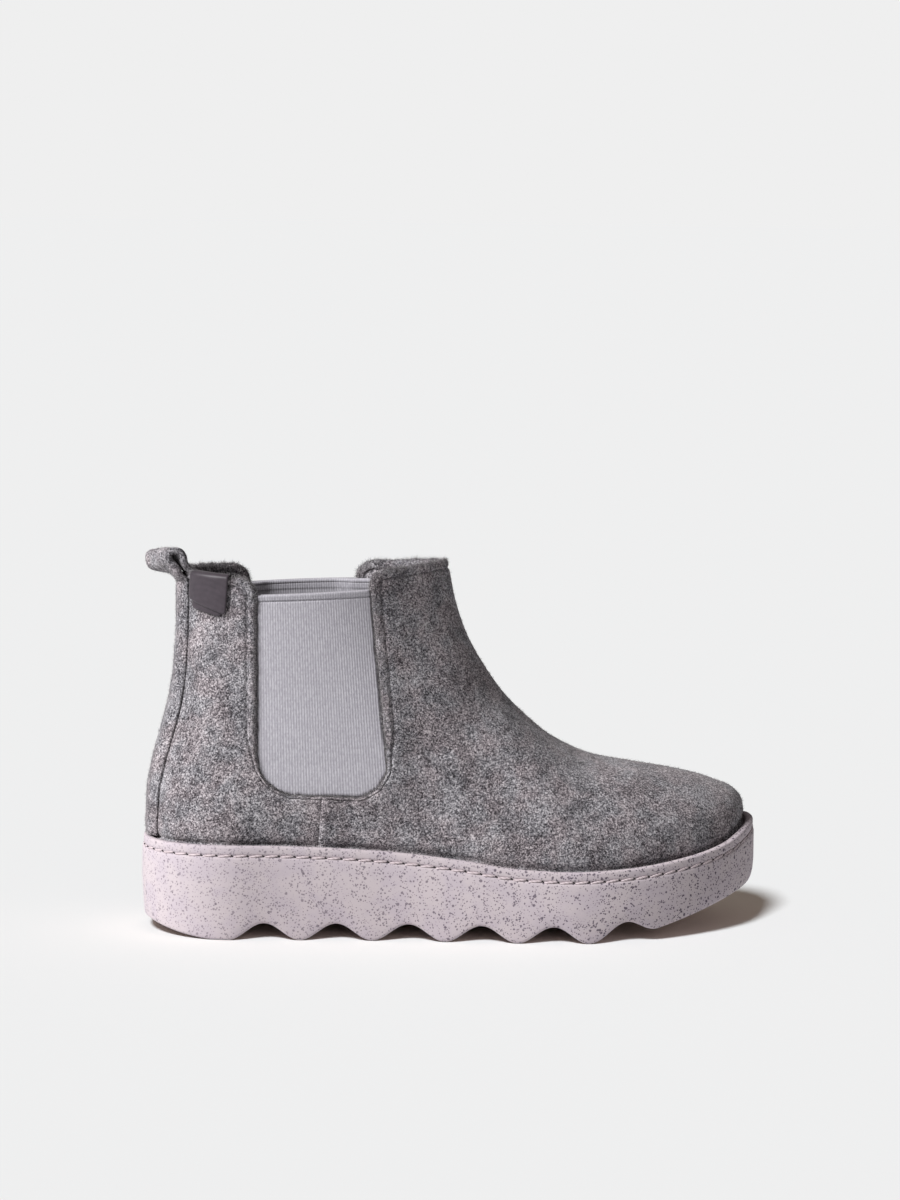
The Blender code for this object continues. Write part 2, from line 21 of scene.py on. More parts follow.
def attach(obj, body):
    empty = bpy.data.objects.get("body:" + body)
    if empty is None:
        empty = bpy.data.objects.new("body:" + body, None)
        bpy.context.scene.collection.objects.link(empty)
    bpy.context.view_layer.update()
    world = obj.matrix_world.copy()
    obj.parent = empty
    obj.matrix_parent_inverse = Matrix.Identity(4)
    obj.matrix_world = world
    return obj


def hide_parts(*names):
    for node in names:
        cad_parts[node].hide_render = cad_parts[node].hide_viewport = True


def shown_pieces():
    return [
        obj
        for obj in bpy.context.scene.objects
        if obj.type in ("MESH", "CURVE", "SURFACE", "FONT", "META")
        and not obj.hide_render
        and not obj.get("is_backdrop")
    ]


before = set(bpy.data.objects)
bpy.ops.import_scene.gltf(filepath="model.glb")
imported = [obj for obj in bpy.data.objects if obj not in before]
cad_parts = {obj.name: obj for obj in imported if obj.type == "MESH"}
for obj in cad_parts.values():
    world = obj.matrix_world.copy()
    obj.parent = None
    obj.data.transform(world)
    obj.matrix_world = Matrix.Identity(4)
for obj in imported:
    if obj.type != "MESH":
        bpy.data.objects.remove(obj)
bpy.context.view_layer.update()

MM = 0.001
BODY = "root"
SAME_PLACE = 0.00002
NORMAL_STEP = 0.0008
ANKLE_X = -0.060
LEAST_HEIGHT = 1e-6
LEAST_AREA = 1e-15
WAVE_BANDS = 20
FRINGE_REACH = 0.0012

Array = np.ndarray
Values = np.ndarray | float
Form = Callable[[Array, Array], Array]
Pair = tuple[float, float]
Triple = tuple[float, float, float]
Rows = tuple[tuple[float, ...], ...]
Stops = tuple[tuple[float, str], ...]
Settings = dict[str | int, object]
Links = dict[str | int, NodeSocket]

log = logging.getLogger("felt_slipper")


class Side(Enum):
    """Side of the foot, as the sign of Y."""

    OUTER = -1
    INNER = 1


class Slot(Enum):
    """Material slots."""

    SOLE = "sole_rubber"
    INSOLE = "insole_felt"
    FELT = "wool_felt"
    ELASTIC = "woven_elastic"
    TAPE = "woven_tape"


# Curves and small sums

class Smooth:
    """A smooth curve through a table's rows that never overshoots them."""

    def __init__(self, at: Sequence[float], value: Sequence[float]) -> None:
        """Fits the curve.

        Args:
            at: Rising positions.
            value: The value at each position.
        """
        self.at = np.asarray(at, float)
        self.value = np.asarray(value, float)
        step = np.diff(self.at)
        slope = np.diff(self.value) / step
        self.tangent = np.zeros(len(self.at))
        self.tangent[0], self.tangent[-1] = slope[0], slope[-1]
        for i in range(1, len(slope)):
            if slope[i - 1] * slope[i] > 0:
                early, late = 2 * step[i] + step[i - 1], step[i] + 2 * step[i - 1]
                self.tangent[i] = (early + late) / (early / slope[i - 1] + late / slope[i])

    def __call__(self, where: Values) -> Array:
        """Reads the curve.

        Args:
            where: One position or many.

        Returns:
            The value at each, held level past the ends.
        """
        i = np.clip(np.searchsorted(self.at, where) - 1, 0, len(self.at) - 2)
        width = self.at[i + 1] - self.at[i]
        t = np.clip((where - self.at[i]) / width, 0.0, 1.0)
        held = (1 + 2 * t) * (1 - t) ** 2 * self.value[i] + t * t * (3 - 2 * t) * self.value[i + 1]
        turned = t * (1 - t) ** 2 * self.tangent[i] - t * t * (1 - t) * self.tangent[i + 1]
        return held + width * turned


def ease(t: Values) -> Array:
    """0 to 1 with flat ends."""
    t = np.clip(t, 0.0, 1.0)
    return t * t * (3 - 2 * t)


def mix(a: Values, b: Values, share: Values) -> Values:
    """The value a share of the way from a to b."""
    return a + (b - a) * share


def bell(distance: Values, width: float) -> Array:
    """1 at a line, falling softly to 0 a few widths away."""
    return np.exp(-np.square(distance / width))


def round_end(t: Values, power: Values) -> Array:
    """Half width of a round end, 0 at its tip and 1 where it joins the side."""
    t = np.clip(t, 0.0, 1.0)
    return (1 - (1 - t) ** power) ** (1 / power)


def steps_along(points: Array) -> Array:
    """Distance of each point along a path."""
    return np.concatenate([[0.0], np.cumsum(np.linalg.norm(np.diff(points, axis=0), axis=1))])


def path_through(points: Sequence[Sequence[float]], count: int) -> Array:
    """Points at even steps along a smooth path.

    Args:
        points: Some of the path's points.
        count: How many points are wanted.

    Returns:
        The points, one to a row.
    """
    given = np.asarray(points, float)
    along = steps_along(given)
    wanted = np.linspace(0, along[-1], count)
    return np.stack([Smooth(along, given[:, i])(wanted) for i in range(given.shape[1])], axis=1)


def filleted(corners: Rows, steps: int = 12) -> Array:
    """An open outline with an arc at each inner corner.

    Args:
        corners: Rows of x, z and the corner's radius.
        steps: Parts in each arc.

    Returns:
        The outline's points as rows of x and z.
    """
    points = [np.array(corners[0][:2])]
    for before, corner, after in zip(corners, corners[1:], corners[2:]):
        here = Vector(corner[:2])
        to_before = (Vector(before[:2]) - here).normalized()
        to_after = (Vector(after[:2]) - here).normalized()
        half = to_before.angle(to_after) / 2
        middle = here + (to_before + to_after).normalized() * corner[2] / math.sin(half)
        first = here + to_before * corner[2] / math.tan(half) - middle
        last = here + to_after * corner[2] / math.tan(half) - middle
        turn = -first.angle_signed(last)
        for k in range(steps + 1):
            points.append(np.array(middle + Matrix.Rotation(turn * k / steps, 2) @ first))
    points.append(np.array(corners[-1][:2]))
    return np.array(points)


def distance_to_path(points: Array, path: Array) -> Array:
    """Shortest distance from points to a path, in the plane of both.

    Args:
        points: The points.
        path: The path's points in order.

    Returns:
        The distance of each point.
    """
    nearest = np.full(len(points), np.inf)
    for a, b in zip(path, path[1:]):
        way = b - a
        t = np.clip((points - a) @ way / (way @ way), 0.0, 1.0)
        nearest = np.minimum(nearest, np.linalg.norm(points - a - t[:, None] * way, axis=1))
    return nearest


def is_inside(points: Array, loop: Array) -> Array:
    """Finds the points inside a closed outline.

    Args:
        points: The points.
        loop: The outline's points in order.

    Returns:
        True for each point inside.
    """
    inside = np.zeros(len(points), bool)
    for (ax, az), (bx, bz) in zip(loop, np.roll(loop, -1, axis=0)):
        spans = (az > points[:, 1]) != (bz > points[:, 1])
        if spans.any():
            crossing = ax + (points[:, 1] - az) * (bx - ax) / (bz - az if bz != az else 1.0)
            inside ^= spans & (points[:, 0] < crossing)
    return inside


def uneven(points: Array, waves: Rows) -> Array:
    """Soft random rise and fall over points.

    Args:
        points: The points.
        waves: Rows of height, and of how many waves there are to a metre.

    Returns:
        The rise at each point.
    """
    return np.array([sum(rise * noise.noise(Vector(p) * pace) for rise, pace in waves) for p in points])


# Mesh helpers

def mapped_grid(columns: int, rows: int, place: Form) -> BMesh:
    """A grid whose points are moved to where a form puts them.

    Args:
        columns: Faces along the grid.
        rows: Faces up the grid.
        place: Takes the column and the row of every point and gives the points.

    Returns:
        The grid as a bmesh.
    """
    bm = bmesh.new()
    bmesh.ops.create_grid(bm, x_segments=columns, y_segments=rows, size=1.0)
    flat = np.array([v.co[:2] for v in bm.verts])
    column = np.rint((flat[:, 0] + 1) / 2 * columns).astype(int)
    row = np.rint((flat[:, 1] + 1) / 2 * rows).astype(int)
    for vert, point in zip(bm.verts, place(column, row)):
        vert.co = point
    return bm


def close_up(bm: BMesh) -> None:
    """Merges the points that meet at seams and poles, then turns all faces outwards.

    Args:
        bm: The mesh.
    """
    bmesh.ops.remove_doubles(bm, verts=bm.verts, dist=SAME_PLACE)
    bmesh.ops.dissolve_degenerate(bm, edges=bm.edges, dist=SAME_PLACE / 4)
    bmesh.ops.recalc_face_normals(bm, faces=bm.faces)


def piece_of(bm: BMesh, name: str, finish: Material) -> Object:
    """A named, smooth object from a bmesh, riding on the slipper's body.

    Args:
        bm: The mesh, which is used up.
        name: Name of the piece.
        finish: Its material.

    Returns:
        The object, at the origin.
    """
    mesh = bpy.data.meshes.new(name)
    bm.to_mesh(mesh)
    bm.free()
    return dressed(mesh, name, finish)


def dressed(mesh: Mesh, name: str, finish: Material) -> Object:
    """Links a mesh as a piece with its finish and slot.

    Args:
        mesh: The piece's mesh.
        name: Name of the piece.
        finish: Its material.

    Returns:
        The object, at the origin.
    """
    mesh.shade_smooth()
    mesh.materials.append(finish)
    made = bpy.data.objects.new(name, mesh)
    bpy.context.scene.collection.objects.link(made)
    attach(made, BODY)
    return made


def thicken(piece: Object, thickness: float, fullness: Array | None = None) -> None:
    """Gives a sheet its thickness, half to each side.

    Args:
        piece: The sheet's object.
        thickness: Thickness where it is full.
        fullness: Share of the thickness at each point, where it varies.
    """
    wall = piece.modifiers.new("wall", "SOLIDIFY")
    wall.thickness = thickness
    wall.offset = 0.0
    if fullness is not None:
        group = piece.vertex_groups.new(name="fullness")
        for i, share in enumerate(fullness):
            group.add([i], float(share), "REPLACE")
        wall.vertex_group = group.name


def cut_along(bm: BMesh, kept: BMLayerItem, level: float, near: float) -> None:
    """Adds an edge line to a sheet where a value kept on its points has a level.

    Args:
        bm: The sheet.
        kept: Layer with the value at each point.
        level: The value along the new line.
        near: Points this close to the level are taken as lying on it.
    """
    level = float(np.float32(level))
    for vert in bm.verts:
        if abs(vert[kept] - level) < near:
            vert[kept] = level
    crossing = [e for e in bm.edges if (e.verts[0][kept] - level) * (e.verts[1][kept] - level) < 0]
    for edge in crossing:
        a, b = edge.verts
        share = (level - a[kept]) / (b[kept] - a[kept])
        _, made = bmesh.utils.edge_split(edge, a, share)
        made[kept] = level
    bmesh.ops.connect_verts(bm, verts=[v for v in bm.verts if v[kept] == level])


def moved_out(surface: Form, a: Array, b: Array, distance: Values) -> Array:
    """Points of a surface moved along its outward normal.

    Args:
        surface: Gives points from two arrays of parameters.
        a: First parameter of each point.
        b: Second parameter of each point.
        distance: How far each point moves.

    Returns:
        The moved points.
    """
    along_a = surface(a + NORMAL_STEP, b) - surface(a - NORMAL_STEP, b)
    along_b = surface(a, b + NORMAL_STEP) - surface(a, b - NORMAL_STEP)
    normal = np.cross(along_a, along_b)
    normal /= np.linalg.norm(normal, axis=1, keepdims=True)
    here = surface(a, b)
    towards_axis = np.stack([ANKLE_X - here[:, 0], -here[:, 1], np.zeros(len(here))], axis=1)
    normal *= np.where((normal * towards_axis).sum(axis=1) > 0, -1.0, 1.0)[:, None]
    return here + normal * np.broadcast_to(distance, len(here))[:, None]


# The last and the pieces' places on it

@dataclass
class Last:
    """The form that the felt is pulled over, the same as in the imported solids."""

    half_length: float = 0.1320
    sole_wall: float = 0.0044
    cup_depth: float = 0.0120
    gap: float = 0.0003
    felt: float = 0.0030
    heel_round: Pair = (0.038, 2.15)
    toe_round: Pair = (0.082, 2.30)
    plan: Rows = (
        (-0.1276, 0.0318, 0.0000), (-0.085, 0.0322, 0.0000), (-0.035, 0.0340, -0.0012),
        (0.015, 0.0405, -0.0016), (0.050, 0.0448, -0.0006), (0.085, 0.0455, 0.0022),
        (0.1276, 0.0442, 0.0060),
    )
    rim: Rows = (
        (-0.1276, 0.0400), (-0.088, 0.0402), (-0.059, 0.0396), (-0.032, 0.0382), (0.000, 0.0350),
        (0.024, 0.0316), (0.047, 0.0306), (0.071, 0.0318), (0.091, 0.0344), (0.112, 0.0390),
        (0.1276, 0.0468),
    )
    front: Rows = (
        (0.1276, 0.0300), (0.1276, 0.0470), (0.1266, 0.0538), (0.1222, 0.0588), (0.1130, 0.0626),
        (0.1000, 0.0664), (0.0780, 0.0702), (0.0590, 0.0741), (0.0455, 0.0802), (0.0325, 0.0897),
        (0.0195, 0.1031), (0.0109, 0.1156), (0.0039, 0.1293), (-0.0005, 0.1430), (-0.0037, 0.1588),
        (-0.0224, 0.2800),
    )
    back: Rows = (
        (0.020, 0.0000), (0.046, 0.0000), (0.058, 0.0003), (0.070, 0.0021), (0.084, 0.0057),
        (0.098, 0.0092), (0.112, 0.0112), (0.130, 0.0122), (0.160, 0.0120),
    )
    ankle: Rows = (
        (0.060, 0.0345, 0.50, 2.30, 2.25, 0.00), (0.100, 0.0330, 0.46, 2.10, 2.25, 0.00),
        (0.130, 0.0325, 0.44, 2.00, 2.25, 0.14), (0.160, 0.0320, 0.43, 1.90, 2.25, 0.26),
    )
    collar: Pair = (0.1515, 0.1580)
    trim: float = 0.0024
    rear_front_x: float = 0.060
    ankle_blend: float = 0.055
    arch_power: float = 2.20
    arch_foot: float = 0.002
    arch_x: Pair = (-0.030, 0.025)
    arch_z: Pair = (0.085, 0.130)
    front_steps: int = 600
    plan_steps: int = 200
    heel_reach: float = 0.055
    heel_steps: int = 160

    def __post_init__(self) -> None:
        """Fits the curves through the tables."""
        self.heel_x = self.sole_wall - self.half_length
        self.toe_x = self.half_length - self.sole_wall
        plan, rim, back, ankle = (np.array(t).T for t in (self.plan, self.rim, self.back, self.ankle))
        self.plan_half = Smooth(plan[0], plan[1])
        self.plan_centre = Smooth(plan[0], plan[2])
        self.rim_z = Smooth(rim[0], rim[1])
        self.back_forward = Smooth(back[0], back[1])
        self.ankle_half, self.ankle_widest, self.ankle_front, self.ankle_rear, self.ankle_pinch = (
            Smooth(ankle[0], row) for row in ankle[1:]
        )
        self.front_path = path_through(self.front, self.front_steps)
        stations = self.stations(self.plan_steps)
        half = self.half_width(stations)
        middle = self.plan_centre(stations)
        self.shift = ((middle + half).max() - (half - middle).max()) / 2

    def stations(self, count: int) -> Array:
        """Places along the foot, closer together at its two round ends."""
        return mix(self.heel_x, self.toe_x, (1 - np.cos(np.pi * np.arange(count + 1) / count)) / 2)

    def half_width(self, x: Array) -> Array:
        """Half width of the last's bottom, with its round heel and toe.

        Args:
            x: Places along the foot.

        Returns:
            The half width at each.
        """
        heel = round_end((x - self.heel_x) / self.heel_round[0], self.heel_round[1])
        toe = round_end((self.toe_x - x) / self.toe_round[0], self.toe_round[1])
        return self.plan_half(x) * heel * toe

    def centre_y(self, x: Array) -> Array:
        """Centre line of the last, with the sole's box centred on the axis."""
        return self.plan_centre(x) - self.shift

    def front_x(self, z: Array) -> Array:
        """Front line of the felt at a height."""
        return np.interp(z, self.front_path[:, 1], self.front_path[:, 0])

    def front_z(self, x: Array) -> Array:
        """Height of the front line over a point of the foot."""
        return np.interp(x, self.front_path[::-1, 0], self.front_path[::-1, 1])

    def back_x(self, z: Array) -> Array:
        """Back line of the felt at a height."""
        return self.heel_x + self.back_forward(z)

    def level_half(self, x: Array, z: Array) -> Array:
        """Half width of a level section: the last's outline at the rim, an egg round the ankle above.

        Args:
            x: Places along the foot.
            z: Height at each.

        Returns:
            The half width at each.
        """
        back, front = self.back_x(z), np.minimum(self.front_x(z), self.rear_front_x)
        s = np.clip((x - back) / (front - back), 0.0, 1.0)
        low = self.half_width(mix(self.heel_x, self.rear_front_x, s))
        widest = self.ankle_widest(z)
        rear = round_end(s / widest, self.ankle_rear(z))
        t = (1 - s) / (1 - widest)
        pinch = np.sin(np.pi / 2 * np.clip(t, 0.0, 1.0)) ** self.ankle_pinch(z)
        egg = np.where(s < widest, rear, round_end(t, self.ankle_front(z)) * pinch)
        return mix(low, self.ankle_half(z) * egg, ease((z - self.rim_z(x)) / self.ankle_blend))

    def arch_half(self, x: Array, z: Array) -> Array:
        """Half width of a cross section over the foot, from the rim up to the front line.

        Args:
            x: Places along the foot.
            z: Height at each.

        Returns:
            The half width at each.
        """
        foot = self.rim_z(x) - self.arch_foot
        rise = np.clip((z - foot) / np.maximum(self.front_z(x) - foot, LEAST_HEIGHT), 0.0, 1.0)
        return self.half_width(x) * np.sqrt(1 - rise ** self.arch_power)

    def felt_half(self, x: Array, z: Array) -> Array:
        """Half width of the upper's outer face.

        Args:
            x: Places along the foot.
            z: Height at each.

        Returns:
            The half width at each.
        """
        along = ease((x - self.arch_x[0]) / (self.arch_x[1] - self.arch_x[0]))
        up = 1 - ease((z - self.arch_z[0]) / (self.arch_z[1] - self.arch_z[0]))
        return mix(self.level_half(x, z), self.arch_half(x, z), along * up)

    def felt_point(self, x: Array, z: Array, side: Side) -> Array:
        """Points of the upper's outer face on one side of the foot."""
        y = self.centre_y(x) + side.value * self.felt_half(x, z)
        return np.stack(np.broadcast_arrays(x, y, z), axis=1)

    def upper_point(self, turn: Array, level: Array) -> Array:
        """Points of the upper's outer face by their place round the foot.

        Args:
            turn: 0 at the heel, 1 at the toe by way of the outer side, 2 at the heel again.
            level: 0 at the footbed, 1 a little above the collar, where the felt is trimmed.

        Returns:
            The points.
        """
        low_back = self.rim_z(self.heel_x) - self.cup_depth + self.gap
        low_front = self.rim_z(self.toe_x) - self.cup_depth + self.gap
        path = self.front_path
        reach = path[(path[:, 1] >= low_front) & (path[:, 1] <= self.collar[1] + self.trim)]
        along = steps_along(reach)
        front_height = np.interp(level * along[-1], along, reach[:, 1])
        back_height = mix(low_back, self.collar[0] + self.trim, level)
        start, end = self.back_x(back_height), self.front_x(front_height)
        s = (1 - np.cos(np.pi * turn)) / 2
        x = mix(start, end, s)
        bed = self.rim_z(mix(self.heel_x, self.toe_x, s)) - self.cup_depth + self.gap
        z = mix(back_height, front_height, s) + (bed - mix(low_back, low_front, s)) * (1 - level) ** 2
        ends = np.isclose(s, 0.0) | np.isclose(s, 1.0)
        half = np.where(ends, 0.0, self.felt_half(x, z))
        return np.stack([x, self.centre_y(x) + np.where(turn < 1, -half, half), z], axis=1)

    def heel_point(self, arc: Array, z: Array) -> Array:
        """Points of the upper's outer face by their distance round the heel from the back.

        Args:
            arc: Distance from the back, less than 0 on the outer side.
            z: Height, one for each point.

        Returns:
            The points.
        """
        made = np.zeros((len(arc), 3))
        reach = self.heel_reach * (1 - np.cos(np.pi / 2 * np.arange(self.heel_steps + 1) / self.heel_steps))
        for height in np.unique(z):
            here = z == height
            x = self.back_x(height) + reach
            half = self.felt_half(x, np.full_like(x, height))
            distance = np.concatenate([[0.0], np.cumsum(np.hypot(np.diff(x), np.diff(half)))])
            at = np.interp(np.abs(arc[here]), distance, x)
            out = np.interp(np.abs(arc[here]), distance, half)
            made[here] = np.stack([at, self.centre_y(at) + np.sign(arc[here]) * out, z[here]], axis=1)
        return made

    def outline(self, offset: float, count: int) -> Array:
        """The last's outline in plan, moved out: from the heel along the outer side, back along the inner.

        Args:
            offset: How far the outline moves out.
            count: Steps along each side.

        Returns:
            Rows of x, y and the x before the move, twice the count of them.
        """
        x = self.stations(count)
        half, middle = self.half_width(x), self.centre_y(x)
        ring_x = np.concatenate([x, x[-2:0:-1]])
        ring_y = np.concatenate([middle - half, (middle + half)[-2:0:-1]])
        ring = np.stack([ring_x, ring_y], axis=1)
        along = np.roll(ring, -1, axis=0) - np.roll(ring, 1, axis=0)
        along /= np.linalg.norm(along, axis=1, keepdims=True)
        moved = ring + offset * np.stack([along[:, 1], -along[:, 0]], axis=1)
        return np.column_stack([moved, ring_x])


LAST = Last()


# Finishes

def linear(hex_colour: str) -> tuple[float, float, float, float]:
    """Linear colour of an sRGB hex value such as #8a8788."""
    parts = [int(hex_colour[i:i + 2], 16) / 255 for i in (1, 3, 5)]
    return (*[c / 12.92 if c <= 0.04045 else ((c + 0.055) / 1.055) ** 2.4 for c in parts], 1.0)


def per_mm(size_mm: float) -> float:
    """Scale of a texture whose grains are this many millimetres across."""
    return 1.0 / (size_mm * MM)


def add_node(tree: NodeTree, kind: str, settings: Settings | None = None, links: Links | None = None) -> Node:
    """Adds a node with its settings and links.

    Args:
        tree: The material's node tree.
        kind: Blender's name of the node's type.
        settings: Values of sockets and properties. "stops" holds a colour ramp's places and hex colours.
        links: What feeds each of the node's inputs.

    Returns:
        The node.
    """
    node = tree.nodes.new(kind)
    for name, value in (settings or {}).items():
        if name == "stops":
            stops = node.color_ramp.elements
            while len(stops) < len(value):
                stops.new(1.0)
            for stop, (place, colour) in zip(stops, value):
                stop.position, stop.color = place, linear(colour)
        elif isinstance(name, int) or name in node.inputs:
            node.inputs[name].default_value = value
        else:
            setattr(node, name, value)
    for name, source in (links or {}).items():
        tree.links.new(source, node.inputs[name])
    return node


def new_finish(name: str, settings: Settings) -> tuple[Material, Node]:
    """Starts a material.

    Args:
        name: Name of the real material.
        settings: Values of the shader's sockets that are the same all over.

    Returns:
        The material and its shader node.
    """
    made = bpy.data.materials.new(name)
    made.use_nodes = True
    shader = made.node_tree.nodes["Principled BSDF"]
    for socket, value in settings.items():
        shader.inputs[socket].default_value = value
    return made, shader


def own_place(tree: NodeTree) -> NodeSocket:
    """Object coordinates, which all patterns here are drawn on."""
    return add_node(tree, "ShaderNodeTexCoord").outputs["Object"]


def grains(
    tree: NodeTree, place: NodeSocket, size_mm: float, settings: Settings, kind: str = "Fac"
) -> NodeSocket:
    """Noise with grains of a real size."""
    values = {"Scale": per_mm(size_mm), **settings}
    return add_node(tree, "ShaderNodeTexNoise", values, {"Vector": place}).outputs[kind]


def bands(tree: NodeTree, place: NodeSocket, size_mm: float, settings: Settings) -> NodeSocket:
    """Waves with bands of a real size."""
    values = {"Scale": per_mm(size_mm) / WAVE_BANDS * math.pi, **settings}
    return add_node(tree, "ShaderNodeTexWave", values, {"Vector": place}).outputs["Fac"]


def blend(tree: NodeTree, share: float, a: NodeSocket, b: NodeSocket) -> NodeSocket:
    """The value a share of the way from a to b."""
    return add_node(tree, "ShaderNodeMix", {0: share}, {2: a, 3: b}).outputs[0]


def ramp(tree: NodeTree, stops: Stops, value: NodeSocket) -> NodeSocket:
    """A colour that runs through stops."""
    return add_node(tree, "ShaderNodeValToRGB", {"stops": stops}, {"Fac": value}).outputs["Color"]


def remap(tree: NodeTree, value: NodeSocket, span: Pair, to: Pair) -> NodeSocket:
    """A value moved from one span to another and held at its ends."""
    values = {"From Min": span[0], "From Max": span[1], "To Min": to[0], "To Max": to[1]}
    return add_node(tree, "ShaderNodeMapRange", values, {"Value": value}).outputs["Result"]


def link_skin(tree: NodeTree, shader: Node, colour: NodeSocket, height: NodeSocket, relief: Pair) -> None:
    """Links a colour and a fine relief to a shader.

    Args:
        tree: The material's node tree.
        shader: The shader.
        colour: Its colour.
        height: The relief's height.
        relief: The relief's strength, and its depth in millimetres.
    """
    strength, depth_mm = relief
    values = {"Strength": strength, "Distance": depth_mm * MM}
    bump = add_node(tree, "ShaderNodeBump", values, {"Height": height})
    tree.links.new(colour, shader.inputs["Base Color"])
    tree.links.new(bump.outputs["Normal"], shader.inputs["Normal"])


@dataclass(frozen=True)
class WoolFelt:
    """Boiled wool felt: matted grey hairs, seen as salt and pepper grain in soft cloudy patches."""

    name: str = "boiled_wool_felt"
    hair_mm: float = 0.70
    tuft_mm: float = 3.2
    tuft_share: float = 0.18
    cloud_mm: float = 13.0
    cloud_share: float = 0.14
    stops: Stops = (
        (0.39, "#282628"), (0.45, "#504d50"), (0.50, "#716e71"), (0.55, "#938f91"), (0.61, "#b8b4b6"),
    )
    patch_mm: float = 11.05
    patch_turn: Triple = (0.7, 0.3, 1.1)
    tints: Stops = ((0.40, "#a9b2bf"), (0.60, "#c9b0b8"))
    tint_share: float = 0.27
    sheen: str = "#d9d5d6"
    relief: Pair = (0.75, 0.30)

    def make(self) -> Material:
        """Makes the material, patterned on Object coordinates.

        Returns:
            The material.
        """
        made, shader = new_finish(self.name, {
            "Roughness": 1.0, "Specular IOR Level": 0.10, "Sheen Weight": 0.22, "Sheen Roughness": 0.55,
            "Sheen Tint": linear(self.sheen),
        })
        tree = made.node_tree
        place = own_place(tree)
        hairs = grains(tree, place, self.hair_mm, {"Detail": 3.0, "Roughness": 0.60, "Distortion": 0.6})
        tufts = grains(tree, place, self.tuft_mm, {"Detail": 2.0, "Roughness": 0.6, "Distortion": 0.8})
        clouds = grains(tree, place, self.cloud_mm, {"Detail": 2.0, "Roughness": 0.5})
        grain = blend(tree, self.tuft_share, hairs, tufts)
        grey = ramp(tree, self.stops, blend(tree, self.cloud_share, grain, clouds))
        turned = add_node(tree, "ShaderNodeMapping", {"Rotation": self.patch_turn}, {"Vector": place})
        patches = grains(tree, turned.outputs["Vector"], self.patch_mm, {"Detail": 3.0})
        colour = add_node(tree, "ShaderNodeMix", {
            "data_type": "RGBA", "blend_type": "SOFT_LIGHT", 0: self.tint_share,
        }, {6: grey, 7: ramp(tree, self.tints, patches)})
        link_skin(tree, shader, colour.outputs[2], grain, self.relief)
        return made


@dataclass(frozen=True)
class LooseWool:
    """Single wool hairs that stand off the felt: pale, grey and dark ones side by side, and no gloss."""

    name: str = "loose_wool_hair"
    stops: Stops = ((0.0, "#322f32"), (0.35, "#656164"), (0.7, "#8b8789"), (1.0, "#b8b5b4"))

    def make(self) -> Material:
        """Makes the material, with each hair in its own tone.

        Returns:
            The material.
        """
        made, shader = new_finish(self.name, {"Roughness": 0.8, "Specular IOR Level": 0.2})
        tree = made.node_tree
        tone = add_node(tree, "ShaderNodeAttribute", {"attribute_name": "tone"})
        tree.links.new(ramp(tree, self.stops, tone.outputs["Fac"]), shader.inputs["Base Color"])
        return made


@dataclass(frozen=True)
class SpeckledRubber:
    """Moulded foam rubber with ground crumbs in it: a matt pale skin sprinkled with grey-mauve specks.

    Each row of crumbs has a cell's size in millimetres, its largest speck as a share of that, and the
    share of cells without one. Each row of strength has a place along the foot and how strongly specks
    show there.
    """

    name: str = "speckled_moulded_rubber"
    ground: Stops = ((0.38, "#afa5ac"), (0.60, "#b5abaf"))
    cloud_mm: float = 9.0
    speck: str = "#544b57"
    speck_edge: float = 0.06
    crumbs: Rows = ((0.85, 0.58, 0.10), (1.60, 0.47, 0.30), (2.80, 0.39, 0.45))
    strength: Rows = ((-0.130, 0.46), (0.100, 0.95))
    ragged_mm: float = 0.8
    shake_mm: float = 0.6
    skin_mm: float = 0.35
    dullness: Pair = (0.70, 0.88)
    relief: Pair = (0.25, 0.06)

    def make(self) -> Material:
        """Makes the material, patterned on Object coordinates.

        Returns:
            The material.
        """
        made, shader = new_finish(self.name, {"Specular IOR Level": 0.16, "IOR": 1.5})
        tree = made.node_tree
        place = own_place(tree)
        colour = ramp(tree, self.ground, grains(tree, place, self.cloud_mm, {"Detail": 3.0}))
        ragged = grains(tree, place, self.ragged_mm, {"Detail": 2.0}, "Color")
        shaken = add_node(tree, "ShaderNodeVectorMath", {
            "operation": "MULTIPLY_ADD", 1: (self.shake_mm * MM,) * 3,
        }, {0: ragged, 2: place})
        along = add_node(tree, "ShaderNodeSeparateXYZ", links={"Vector": place})
        strength = remap(tree, along.outputs["X"], *zip(*self.strength))
        for cell_mm, largest, bare in self.crumbs:
            cells = add_node(tree, "ShaderNodeTexVoronoi", {"Scale": per_mm(cell_mm)}, {
                "Vector": shaken.outputs["Vector"],
            })
            size = remap(tree, cells.outputs["Color"], (bare, 1.0), (0.0, largest))
            inside = add_node(tree, "ShaderNodeMath", {"operation": "SUBTRACT"}, {
                0: size, 1: cells.outputs["Distance"],
            })
            amount = add_node(tree, "ShaderNodeMapRange", {
                "From Min": 0.0, "From Max": self.speck_edge, "To Min": 0.0,
            }, {"Value": inside.outputs["Value"], "To Max": strength})
            mixed = add_node(tree, "ShaderNodeMix", {"data_type": "RGBA", 7: linear(self.speck)}, {
                0: amount.outputs["Result"], 6: colour,
            })
            colour = mixed.outputs[2]
        skin = grains(tree, place, self.skin_mm, {"Detail": 2.0})
        tree.links.new(remap(tree, skin, (0.0, 1.0), self.dullness), shader.inputs["Roughness"])
        link_skin(tree, shader, colour, skin, self.relief)
        return made


